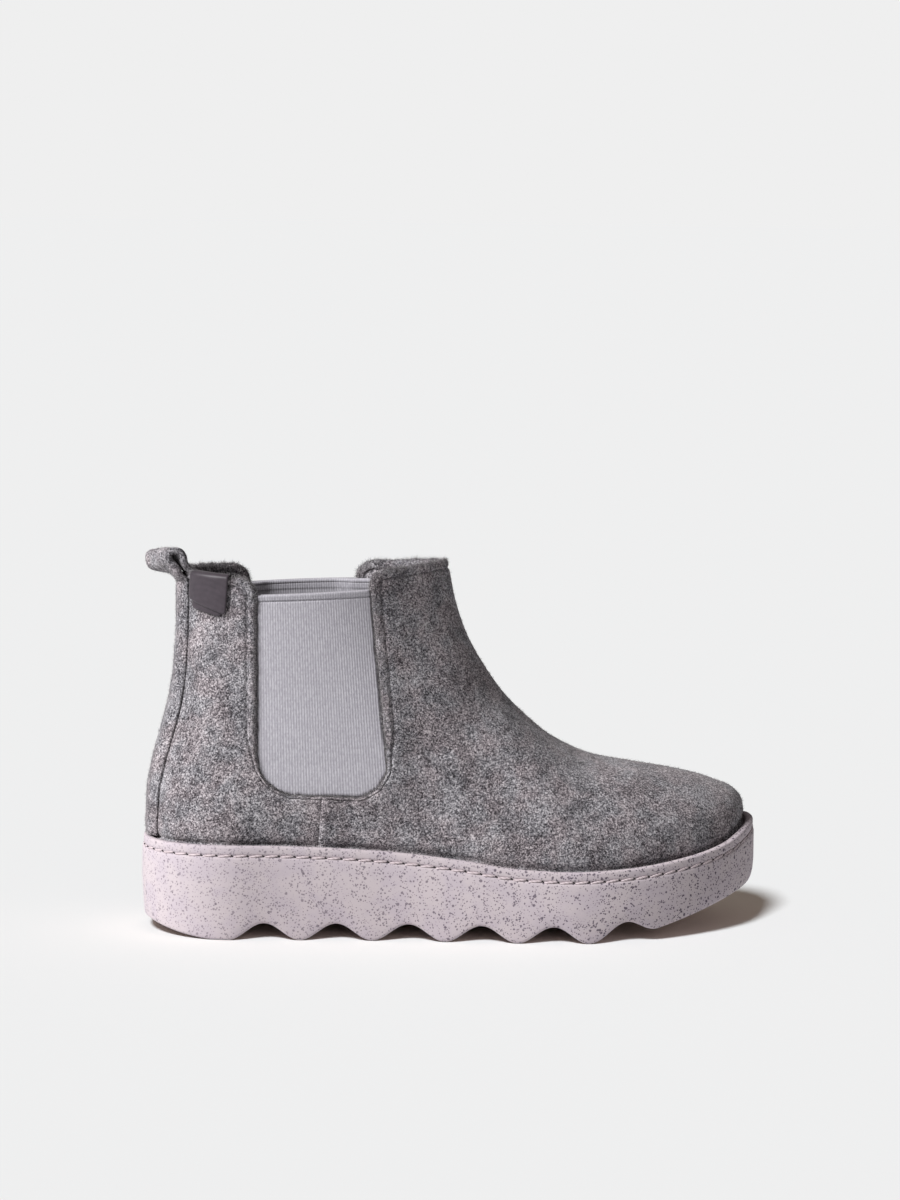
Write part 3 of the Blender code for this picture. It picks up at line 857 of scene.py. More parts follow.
@dataclass(frozen=True)
class WovenElastic:
    """Woven elastic: covered rubber warps side by side, so upright ribs with a fine weft, slightly silky."""

    name: str = "woven_elastic"
    tones: Stops = ((0.08, "#939098"), (0.75, "#b0aeb4"))
    weft_mm: float = 0.7
    yarn_mm: float = 0.7
    yarn_share: float = 0.85
    fleck_mm: float = 0.6
    fleck_stretch: Triple = (1.0, 1.0, 0.35)
    fleck_spans: Rows = ((0.40, 0.60), (0.08, 1.0))
    weave_share: float = 0.40
    relief: Pair = (0.35, 0.10)

    def make(self) -> Material:
        """Makes the material. The rib attribute is 1 on a rib's ridge and 0 between ribs; the colour follows
        it, as painted shade between the ribs.

        Returns:
            The material.
        """
        made, shader = new_finish(self.name, {
            "Roughness": 0.72, "Specular IOR Level": 0.30, "Sheen Weight": 0.15, "Sheen Roughness": 0.4,
        })
        tree = made.node_tree
        place = own_place(tree)
        rib = add_node(tree, "ShaderNodeAttribute", {"attribute_name": "rib"})
        weft = bands(tree, place, self.weft_mm, {
            "bands_direction": "Z", "Distortion": 1.2, "Detail": 1.0, "Detail Scale": 3.0,
        })
        weave = blend(tree, self.yarn_share, weft, grains(tree, place, self.yarn_mm, {"Detail": 2.0}))
        drawn = add_node(tree, "ShaderNodeMapping", {"Scale": self.fleck_stretch}, {"Vector": place})
        flecks = grains(tree, drawn.outputs["Vector"], self.fleck_mm, {"Detail": 1.0})
        # Painted shade: the colour is darker between the ribs, broken up by the flecks.
        painted_rib_shade = add_node(tree, "ShaderNodeMath", {"operation": "MULTIPLY"}, {
            0: rib.outputs["Fac"], 1: remap(tree, flecks, *self.fleck_spans),
        })
        tone = blend(tree, self.weave_share, painted_rib_shade.outputs["Value"], weave)
        link_skin(tree, shader, ramp(tree, self.tones, tone), weave, self.relief)
        return made


@dataclass(frozen=True)
class WovenTape:
    """Satin-woven polyester tape: dark, close and a little shiny, with a fine diagonal thread."""

    name: str = "satin_woven_tape"
    tones: Stops = ((0.25, "#2c252c"), (0.75, "#3a3239"))
    thread_mm: float = 0.60
    wear_mm: float = 3.0
    wear_share: float = 0.88
    relief: Pair = (0.2, 0.04)

    def make(self) -> Material:
        """Makes the material. The thread is drawn coarser than real, as it would not show.

        Returns:
            The material.
        """
        made, shader = new_finish(self.name, {
            "Roughness": 0.50, "Specular IOR Level": 0.35, "Sheen Weight": 0.12,
        })
        tree = made.node_tree
        place = own_place(tree)
        thread = bands(tree, place, self.thread_mm, {"bands_direction": "DIAGONAL", "Distortion": 0.6})
        tone = blend(tree, self.wear_share, thread, grains(tree, place, self.wear_mm, {"Detail": 3.0}))
        link_skin(tree, shader, ramp(tree, self.tones, tone), thread, self.relief)
        return made


@dataclass(frozen=True)
class SewingThread:
    """Twisted sewing thread: a soft silky cord whose plies show as fine slanting lines."""

    name: str
    dark: str
    light: str
    ply_mm: float = 0.5
    relief: Pair = (0.5, 0.08)

    def make(self) -> Material:
        """Makes the material, patterned on Object coordinates.

        Returns:
            The material.
        """
        made, shader = new_finish(self.name, {"Roughness": 0.6, "Specular IOR Level": 0.3})
        tree = made.node_tree
        ply = bands(tree, own_place(tree), self.ply_mm, {"bands_direction": "DIAGONAL", "Distortion": 0.8})
        colour = ramp(tree, ((0.0, self.dark), (0.5, self.light)), ply)
        link_skin(tree, shader, colour, ply, self.relief)
        return made


# Pieces

@dataclass
class Crease:
    """A soft trough or ridge in the felt, along a line on one side of the foot."""

    side: Side
    line: Rows
    width: float
    depth: float
    clear_of_ridge: float = 0.014
    steps: int = 24

    def push(self, points: Array) -> Array:
        """How far each point of the felt moves out.

        Args:
            points: The points.

        Returns:
            The distance of each, less than 0 where it moves in.
        """
        near = distance_to_path(points[:, [0, 2]], path_through(self.line, self.steps))
        from_ridge = self.side.value * (points[:, 1] - LAST.centre_y(points[:, 0]))
        return -self.depth * bell(near, self.width) * ease(from_ridge / self.clear_of_ridge)


@dataclass
class Upper:
    """Felt upper: one pulled-over skin, notched for the gussets, with rolled and stitched edges."""

    columns: int = 300
    rows: int = 88
    level_bias: float = 1.2
    edges: dict[Side, Rows] = field(default_factory=lambda: {
        Side.OUTER: (
            (-0.2500, 0.1569, 0.0), (-0.0867, 0.1517, 0.0070), (-0.0857, 0.0612, 0.0170),
            (-0.0300, 0.0598, 0.0135), (-0.0386, 0.1546, 0.0060), (0.2000, 0.1765, 0.0),
        ),
        Side.INNER: (
            (-0.2500, 0.1552, 0.0), (-0.0855, 0.1529, 0.0090), (-0.0857, 0.0612, 0.0170),
            (-0.0300, 0.0598, 0.0135), (-0.0403, 0.1540, 0.0075), (0.2000, 0.1790, 0.0),
        ),
    })
    fullness: Rows = (
        (0.0000, 0.10), (0.0003, 0.50), (0.0008, 0.80), (0.0014, 0.98), (0.0024, 1.00), (0.0031, 0.90),
        (0.0035, 0.64), (0.0038, 0.54), (0.0041, 0.64), (0.0046, 0.90), (0.0056, 1.00),
    )
    notch_foot: Rows = ((0.0640, 3.2), (0.0880, 1.0))
    ragged: Rows = ((0.0006, 300.0),)
    sky: Rows = ((0.2, 0.4), (-0.25, 0.4))
    edge_snap: float = 0.00008
    line_snap: float = 0.00004
    creases: tuple[Crease, ...] = (
        Crease(Side.OUTER, ((-0.020, 0.078), (0.000, 0.088), (0.014, 0.102)), 0.0085, 0.0007),
        Crease(Side.OUTER, ((0.046, 0.036), (0.052, 0.052), (0.048, 0.068)), 0.0100, 0.0005),
        Crease(Side.INNER, ((-0.018, 0.080), (0.002, 0.090), (0.014, 0.103)), 0.0085, 0.0007),
        Crease(Side.INNER, ((0.050, 0.036), (0.056, 0.052), (0.052, 0.068)), 0.0100, 0.0005),
        Crease(Side.OUTER, ((-0.102, 0.070), (-0.097, 0.088)), 0.0090, 0.0004),
        Crease(Side.OUTER, ((0.016, 0.076), (0.008, 0.096)), 0.0170, 0.0024),
        Crease(Side.INNER, ((0.016, 0.076), (0.008, 0.096)), 0.0170, 0.0018),
        Crease(Side.OUTER, ((-0.0330, 0.070), (-0.0375, 0.116)), 0.0130, -0.0015),
        Crease(Side.INNER, ((-0.0330, 0.070), (-0.0375, 0.116)), 0.0130, -0.0008),
    )
    seam_x: Pair = (-0.0586, -0.0572)
    seam_z: Pair = (0.040, 0.060)
    seam_step: float = 0.0009
    seam_lines: tuple[float, ...] = (-0.0022, -0.0014, -0.0008, -0.0003, 0.0002, 0.0007, 0.0013, 0.0024)
    seam_end: Pair = (0.064, 0.003)
    seam_rise: Pair = (-0.0005, 0.0010)
    seam_fall: Pair = (0.0015, 0.010)
    seam_ditch: Triple = (-0.0008, 0.0006, 0.00045)
    rim_tuck: Triple = (0.0002, 0.0015, 0.0017)
    waves: Rows = ((0.00030, 55.0), (0.00014, 240.0))
    stitch_pitch: float = 0.0026
    stitch_inset: float = 0.0038
    stitch_reach: float = 0.34
    stitch_clear: float = 0.004
    stitch_sunk: float = 0.00036
    stitch_radius: float = 0.00022
    stitch_sides: int = 6
    axis_half: float = 0.06
    foot_axis: Pair = (-0.02, 0.040)
    hair_over_rim: float = 0.0005
    hair_all_over: float = 0.147

    def edge_distance(self, points: Array) -> Array:
        """Distance of points from the felt's cut edge.

        It is counted longer at the notch's foot, where the rolled edge is narrower.

        Args:
            points: The points.

        Returns:
            The distance of each, less than 0 in the openings.
        """
        flat = points[:, [0, 2]]
        signed = {}
        for side, corners in self.edges.items():
            path = filleted(corners)
            far = distance_to_path(flat, path)
            open_air = is_inside(flat, np.vstack([path, self.sky]))
            signed[side] = np.where(open_air, -far, far)
        is_outer = points[:, 1] < LAST.centre_y(points[:, 0])
        far = np.where(is_outer, signed[Side.OUTER], signed[Side.INNER])
        return (far + uneven(points, self.ragged)) * self.narrowing(points[:, 2])

    def narrowing(self, z: Array) -> Array:
        """How many times narrower the rolled edge is at a height than along the collar."""
        (low, most), (high, least) = self.notch_foot
        return mix(most, least, ease((z - low) / (high - low)))

    def past_seam(self, points: Array) -> Array:
        """How far points lie in front of the side seam."""
        up = (points[:, 2] - self.seam_z[0]) / (self.seam_z[1] - self.seam_z[0])
        return points[:, 0] - mix(self.seam_x[0], self.seam_x[1], up)

    def relief(self, points: Array) -> Array:
        """How far the felt stands out from the last's form: creases, side seam and slight unevenness.

        Args:
            points: The points.

        Returns:
            The distance of each.
        """
        push = sum(crease.push(points) for crease in self.creases)
        past = self.past_seam(points)
        below, lap, worn = (
            ease((value - start) / length)
            for value, (start, length) in (
                (points[:, 2], self.seam_end), (past, self.seam_rise), (past, self.seam_fall),
            )
        )
        at, width, depth = self.seam_ditch
        ditch = depth * bell(past - at, width)
        push = push + (1 - below) * (self.seam_step * lap * (1 - worn) - ditch)
        over_rim = points[:, 2] - LAST.rim_z(np.clip(points[:, 0], LAST.heel_x, LAST.toe_x))
        at, width, depth = self.rim_tuck
        return push - depth * bell(over_rim - at, width) + uneven(points, self.waves)

    def outer_face(self, middles: Array, normals: Array) -> Array:
        """Where loose hairs show: the outer face above the rim, and the rolled edges.

        Args:
            middles: Middles of the felt's faces.
            normals: Normals of the faces.

        Returns:
            1 for each face that has hairs, 0 for the others.
        """
        x, z = middles[:, 0], middles[:, 2]
        foot_x, foot_z = self.foot_axis
        from_axis = middles.copy()
        from_axis[:, 0] = x - np.clip(x, -self.axis_half, self.axis_half)
        from_axis[:, 2] = np.where(x > foot_x, z - foot_z, 0.0)
        facing = (normals * from_axis).sum(axis=1) > 0
        above = z > LAST.rim_z(x) + self.hair_over_rim
        return ((facing | (z > self.hair_all_over)) & above).astype(float)

    def build(self, finish: Material) -> Object:
        """Makes the felt skin.

        Args:
            finish: The felt.

        Returns:
            The piece, which stands for the upper.
        """
        bm = mapped_grid(self.columns, self.rows, lambda i, j: LAST.upper_point(
            2 * i / self.columns, (j / self.rows) ** self.level_bias,
        ))
        close_up(bm)
        points = np.array([v.co for v in bm.verts])
        kept = bm.verts.layers.float.new("edge_distance")
        for vert, distance in zip(bm.verts, self.edge_distance(points)):
            vert[kept] = distance
        cut_along(bm, kept, 0.0, self.edge_snap)
        past = [f for f in bm.faces if sum(v[kept] for v in f.verts) < 0]
        bmesh.ops.delete(bm, geom=past, context="FACES")
        for level, _ in self.fullness[1:]:
            cut_along(bm, kept, level, self.line_snap)
        seam = bm.verts.layers.float.new("past_seam")
        points = np.array([v.co for v in bm.verts])
        for vert, past in zip(bm.verts, self.past_seam(points)):
            vert[seam] = past
        for level in self.seam_lines:
            cut_along(bm, seam, level, self.line_snap)
        bmesh.ops.triangulate(bm, faces=[f for f in bm.faces if len(f.verts) > 4])
        bm.normal_update()
        points = np.array([v.co for v in bm.verts])
        for vert, push in zip(bm.verts, self.relief(points) - LAST.felt / 2):
            vert.co += vert.normal * push
        distances, shares = np.array(self.fullness).T
        fullness = np.interp([v[kept] for v in bm.verts], distances, shares)
        piece = piece_of(bm, "felt_upper", finish)
        thicken(piece, LAST.felt, fullness)
        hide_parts("upper")
        return piece

    def build_stitches(self, finish: Material) -> Object:
        """Makes the row of stitches in the groove along the cut edge, on both sides. Their dark grey is
        partly the thread's own colour and partly painted shade of the stitch pits.

        Args:
            finish: The thread, its dark grey partly painted shade of the pits.

        Returns:
            The piece.
        """
        half = self.stitch_pitch * self.stitch_reach
        bm = bmesh.new()
        for side in Side:
            path = filleted(self.edges[side])
            along = np.diff(path, axis=0, append=path[-1:] * 2 - path[-2:-1])
            along /= np.linalg.norm(along, axis=1, keepdims=True)
            set_in = self.stitch_inset / self.narrowing(path[:, 1])
            line = path + set_in[:, None] * np.stack([along[:, 1], -along[:, 0]], axis=1)
            distance = steps_along(line)
            for d in np.arange(0.0, distance[-1], self.stitch_pitch):
                x, z = (np.interp([d - half, d + half], distance, line[:, k]) for k in (0, 1))
                first, last = LAST.back_x(z[0]) + self.stitch_clear, LAST.front_x(z[1]) - self.stitch_clear
                if x[0] < first or x[1] > last:
                    continue
                a, b = moved_out(lambda p, q: LAST.felt_point(p, q, side), x, z, -self.stitch_sunk)
                add_spindle(bm, Vector(a), Vector(b), self.stitch_radius, self.stitch_sides)
        return piece_of(bm, "edge_stitches", finish)


def add_spindle(bm: BMesh, a: Vector, b: Vector, radius: float, sides: int, rings: int = 6) -> None:
    """Adds one stitch: a thread that swells between its two ends.

    Args:
        bm: The mesh it joins.
        a: One end.
        b: The other end.
        radius: Half of the thread's thickness.
        sides: Sides of the thread.
        rings: Parts along the thread.
    """
    way = b - a
    place = Matrix.Translation((a + b) / 2) @ way.to_track_quat("Z", "Y").to_matrix().to_4x4()
    shape = Matrix.Diagonal((radius, radius, way.length / 2, 1.0))
    bmesh.ops.create_uvsphere(bm, u_segments=sides, v_segments=rings, radius=1.0, matrix=place @ shape)


@dataclass
class Gusset:
    """Woven elastic panel behind the notch, with ribs, a rolled top and a hem turned to the inside."""

    side: Side
    thickness: float = 0.0014
    margin: float = 0.0075
    foot_z: float = 0.0535
    top_z: Pair = (0.1445, 0.1478)
    back_edge: Rows = ((0.0612, -0.0857), (0.1540, -0.0867))
    front_edge: Rows = ((0.0598, -0.0300), (0.1562, -0.0386))
    ribs: int = 60
    rib_steps: int = 5
    rib_depth: float = 0.00010
    bulge: float = 0.0019
    bulge_rise: Triple = (-0.0012, 0.0012, 0.0100)
    rows_up: int = 60
    row_bias: float = 1.7
    plain_from: float = 0.0058
    top_round: float = 0.0004
    foot_round: float = 0.002
    side_round: float = 40.0
    rib_fade: float = 0.0012
    hem: Rows = (
        (0.0000, 0.00), (0.0003, 0.55), (0.0007, 0.90), (0.0012, 0.90), (0.0015, 0.80), (0.0017, 0.70),
        (0.0019, 0.65), (0.0021, 0.60), (0.0024, 0.55), (0.0026, 0.20), (0.0028, -0.45), (0.0030, -0.45),
        (0.0034, 0.10), (0.0038, 0.25),
    )
    turned: Rows = (
        (0.0000, 0.00), (0.0004, 0.62), (0.0009, 0.90), (0.0014, 0.85), (0.0017, 0.58), (0.0019, 0.55),
        (0.0022, 0.66), (0.0038, 0.64), (0.0041, 0.55), (0.0043, 0.40), (0.0050, 0.36),
    )

    def edges(self, z: Array) -> tuple[Array, Array]:
        """Back and front of the elastic at a height.

        Args:
            z: The heights.

        Returns:
            Both places along the foot.
        """
        back, front = (
            mix(x0, x1, (z - z0) / (z1 - z0)) for (z0, x0), (z1, x1) in (self.back_edge, self.front_edge)
        )
        return back - self.margin, front + self.margin

    def rib_wave(self, share: Array) -> Array:
        """1 on a rib's ridge and 0 between ribs, by the share of the way from back to front."""
        return 0.5 + 0.5 * np.cos(2 * np.pi * self.ribs * share)

    def build(self, name: str, node: str, finish: Material, upper: Upper) -> Object:
        """Makes the panel, up its outer face, over the top and down its inner face.

        Args:
            name: Name of the piece.
            node: The solid that it stands for.
            finish: The elastic.
            upper: The felt, in whose notch the elastic stands a little fuller.

        Returns:
            The piece.
        """
        columns = self.ribs * self.rib_steps
        height = self.top_z[0] - self.foot_z
        plain = mix(height, self.plain_from, np.linspace(0, 1, self.rows_up) ** self.row_bias)
        folded = np.unique([drop for drop, _ in self.hem + self.turned])
        drop = np.concatenate([plain, folded[::-1], folded[1:], plain[::-1]])
        is_outer = np.arange(len(drop)) < len(plain) + len(folded)
        hem, turned = np.array(self.hem).T, np.array(self.turned).T
        low, outer_high, inner_high = self.bulge_rise
        scale = self.thickness / 2

        def place(i: Array, j: Array) -> Array:
            """Points of both faces.

            Args:
                i: Column of each point, from back to front.
                j: Row of each point, up the outer face and down the inner one.

            Returns:
                The points.
            """
            share, down, outer = i / columns, drop[j], is_outer[j]
            top = mix(self.top_z[0], self.top_z[1], share)
            z = top - down * (top - self.foot_z) / height
            x = mix(*self.edges(z), share)
            swell = np.where(outer, np.interp(down, *hem) - hem[1, -1], np.interp(down, *turned))
            flat = np.where(down < self.top_round, down / self.top_round, 1.0)
            ribbed = self.rib_depth * (self.rib_wave(share) - 1) * ease(down / self.rib_fade)
            half = scale * flat + np.where(down > 0, swell * scale, 0.0) + ribbed
            sides = np.minimum(share, 1 - share) * self.side_round
            half = half * np.clip(np.minimum(sides, (height - down) / self.foot_round), 0.0, 1.0)
            in_notch = -upper.edge_distance(LAST.felt_point(x, z, self.side))
            high = np.where(outer, outer_high, inner_high)
            out = np.where(outer, half, -half) + self.bulge * ease((in_notch - low) / (high - low))
            centre = -(LAST.felt + LAST.gap + scale)
            return moved_out(lambda a, b: LAST.felt_point(a, b, self.side), x, z, centre + out)

        bm = mapped_grid(columns, len(drop) - 1, place)
        # The rib attribute drives the elastic's painted shade between the ribs.
        kept = bm.verts.layers.float.new("rib")
        wave = self.rib_wave(np.arange(columns + 1) / columns)
        for n, vert in enumerate(bm.verts):
            vert[kept] = wave[n % (columns + 1)]
        close_up(bm)
        piece = piece_of(bm, name, finish)
        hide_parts(node)
        return piece


@dataclass
class HeelStrip:
    """Felt strip up the back of the heel, which runs on over the collar as the pull loop and down inside."""

    width: float = 0.0220
    thickness: float = 0.0028
    top_z: float = 0.1490
    inner_z: Pair = (0.1495, 0.1370)
    across: int = 18
    outer_rows: int = 70
    loop_rows: int = 64
    inner_rows: int = 10
    loop: Rows = (
        (-0.1201, 0.1519, 8.0, 3.0, 0.45), (-0.1231, 0.1537, 16.0, 8.0, 0.85),
        (-0.1254, 0.1555, 21.0, 9.0, 1.00), (-0.1260, 0.1588, 22.0, 7.0, 1.00),
        (-0.1237, 0.1603, 22.0, 6.0, 1.00), (-0.1214, 0.1596, 22.0, 8.0, 1.00),
        (-0.1194, 0.1576, 19.0, 8.0, 1.00), (-0.1165, 0.1543, 12.0, 8.0, 0.90),
        (-0.1143, 0.1530, 6.0, 6.0, 0.60), (-0.1123, 0.1520, 2.0, 0.0, 0.25),
    )
    edge_round: float = 0.0052
    edge_press: float = 1.20
    edge_share: float = 0.30
    loop_edge: float = 0.94
    loop_fade: tuple[int, int] = (-4, 8)
    waves: Rows = ((0.00028, 210.0),)

    def leg(self, z: Array, arcs: Array, out: Array) -> Array:
        """Rows of points where the strip lies against the heel.

        Args:
            z: Height of each row.
            arcs: Places across the strip.
            out: Distance from the heel's felt at each place across.

        Returns:
            Points by row, place across and axis.
        """
        heights, places = np.repeat(z, len(arcs)), np.tile(arcs, len(z))
        flat = moved_out(LAST.heel_point, places, heights, np.tile(out, len(z)))
        return flat.reshape(len(z), len(arcs), 3)

    def loop_points(self, start: Array, end: Array, arcs: Array) -> Array:
        """Rows of points of the free loop.

        Args:
            start: The outer leg's last row.
            end: The inner leg's first row.
            arcs: Places across the strip.

        Returns:
            The rows between the two legs.
        """
        middle = len(arcs) // 2
        rows = np.array(self.loop)
        through = np.vstack([start[middle, [0, 2]], rows[:, :2], end[middle, [0, 2]]])
        path = path_through(through, self.loop_rows)
        rung = np.arange(len(through))
        t = np.linspace(0, rung[-1], self.loop_rows)
        twist, tilt, flat = (Smooth(rung, [0.0, *rows[:, k], 0.0])(t) for k in (2, 3, 4))
        turn, sink = np.radians(twist), np.radians(tilt)
        cross = np.stack([-np.sin(turn), np.cos(turn), -np.sin(sink)], axis=1)
        cross /= np.linalg.norm(cross, axis=1, keepdims=True)
        curl_start, curl_end = start - start[middle], end - end[middle]
        made = []
        for k in range(1, self.loop_rows - 1):
            curl = curl_start if t[k] < rung[-1] / 2 else curl_end
            centre = np.array([path[k, 0], float(LAST.centre_y(path[k, 0])), path[k, 1]])
            made.append(centre + mix(curl, arcs[:, None] * cross[k], flat[k]))
        return np.array(made)

    def build(self, finish: Material) -> Object:
        """Makes the strip and loop.

        Args:
            finish: The felt.

        Returns:
            The piece.
        """
        arcs = np.linspace(-self.width / 2, self.width / 2, self.across + 1)
        from_edge = np.minimum(arcs - arcs[0], arcs[-1] - arcs)
        fullness = mix(self.edge_share, 1.0, ease(from_edge / self.edge_round))
        outside = LAST.gap + self.thickness / 2 * (1 - self.edge_press * (1 - fullness))
        inside = np.full(len(arcs), -(LAST.felt + 2 * LAST.gap + self.thickness / 2))
        foot_z = float(LAST.rim_z(LAST.heel_x)) + 2 * LAST.gap
        outer = self.leg(np.linspace(foot_z, self.top_z, self.outer_rows), arcs, outside)
        inner = self.leg(np.linspace(*self.inner_z, self.inner_rows), arcs, inside)
        rows = np.concatenate([outer, self.loop_points(outer[-1], inner[0], arcs), inner])
        bm = mapped_grid(self.across, len(rows) - 1, lambda i, j: rows[j, i])
        bmesh.ops.recalc_face_normals(bm, faces=bm.faces)
        bm.normal_update()
        for vert, rise in zip(bm.verts, uneven(np.array([v.co for v in bm.verts]), self.waves)):
            vert.co += vert.normal * rise
        piece = piece_of(bm, "felt_heel_strip", finish)
        starts = [self.outer_rows + step for step in self.loop_fade]
        ends = [len(rows) - self.inner_rows, len(rows)]
        free = np.interp(np.arange(len(rows)), starts + ends, [0.0, 1.0, 1.0, 0.0])
        full = mix(fullness, np.maximum(fullness, self.loop_edge), free[:, None])
        thicken(piece, self.thickness, full.ravel())
        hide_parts("heel_strip_and_loop")
        return piece


@dataclass
class TapeTab:
    """Bare tape tab folded over the collar beside the strip: a front flap, and the tape's tail below it."""

    start: float = 0.0145
    width: float = 0.0195
    fold: Rows = ((-0.1124, 0.1521), (-0.0979, 0.1514))
    layers: Rows = ((0.0136, 0.16, 0.00055, 0.0020), (0.0100, 0.27, 0.00125, 0.0))
    inside_drop: float = 0.0060
    lean: float = 0.13
    thickness: float = 0.00042
    corner: float = 0.0016
    fullness: float = 0.00025
    fold_height: float = 0.55
    across: int = 24
    rows_down: int = 22
    rows_over: int = 9
    rows_inside: int = 6

    def layer(self, drop: float, slant: float, out: float, inset: float) -> Array:
        """One layer of the folded tape.

        Args:
            drop: How far it hangs outside the collar.
            slant: How much further it hangs at its front, to each metre of width.
            out: Distance of its middle from the felt.
            inset: How much narrower it is than the tape at each side.

        Returns:
            Points by row, place across and axis.
        """
        back = -(LAST.felt + out)
        share = np.linspace(0.0, 1.0, self.across + 1)
        down = np.linspace(drop, 0.0, self.rows_down)
        turn = np.linspace(0.0, np.pi, self.rows_over)[1:-1]
        inside = np.linspace(0, self.inside_drop, self.rows_inside)
        radius = (out - back) / 2
        over, over_out = self.fold_height * radius * np.sin(turn), out - radius * (1 - np.cos(turn))
        rises = np.concatenate([-down, over, -inside])
        outs = np.concatenate([np.full(len(down), out), over_out, np.full(len(inside), back)])
        rows = []
        for rise, away in zip(rises, outs):
            hangs = min(rise, 0.0) if away > 0 else 0.0
            to_end = drop + hangs if away > 0 else self.inside_drop + min(rise, 0.0)
            t = np.clip(to_end / self.corner, 0.0, 1.0)
            pinch = self.corner * (1 - math.sqrt(1 - (1 - t) ** 2))
            wide = np.clip(share * self.width, pinch + inset, self.width - pinch - inset)
            arc = -(self.start + wide) - self.lean * hangs
            fall = slant * wide * hangs / drop
            x = LAST.heel_point(arc, np.full_like(arc, LAST.collar[0]))[:, 0]
            (x0, z0), (x1, z1) = self.fold
            z = mix(z0, z1, (x - x0) / (x1 - x0)) + min(rise, 0.0) + fall
            bulge = self.fullness * np.sin(np.pi * share) * (away > 0)
            points = moved_out(LAST.heel_point, arc, z, away + bulge)
            points[:, 2] += max(rise, 0.0)
            rows.append(points)
        return np.array(rows)

    def build(self, finish: Material) -> Object:
        """Makes both layers as one piece.

        Args:
            finish: The tape.

        Returns:
            The piece.
        """
        bm = bmesh.new()
        for layer in self.layers:
            rows = self.layer(*layer)
            made = mapped_grid(self.across, len(rows) - 1, lambda i, j: rows[j, i])
            mesh = bpy.data.meshes.new("tape_layer")
            made.to_mesh(mesh)
            made.free()
            bm.from_mesh(mesh)
            bpy.data.meshes.remove(mesh)
        close_up(bm)
        piece = piece_of(bm, "tape_tab", finish)
        thicken(piece, self.thickness)
        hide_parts("label_tab")
        return piece


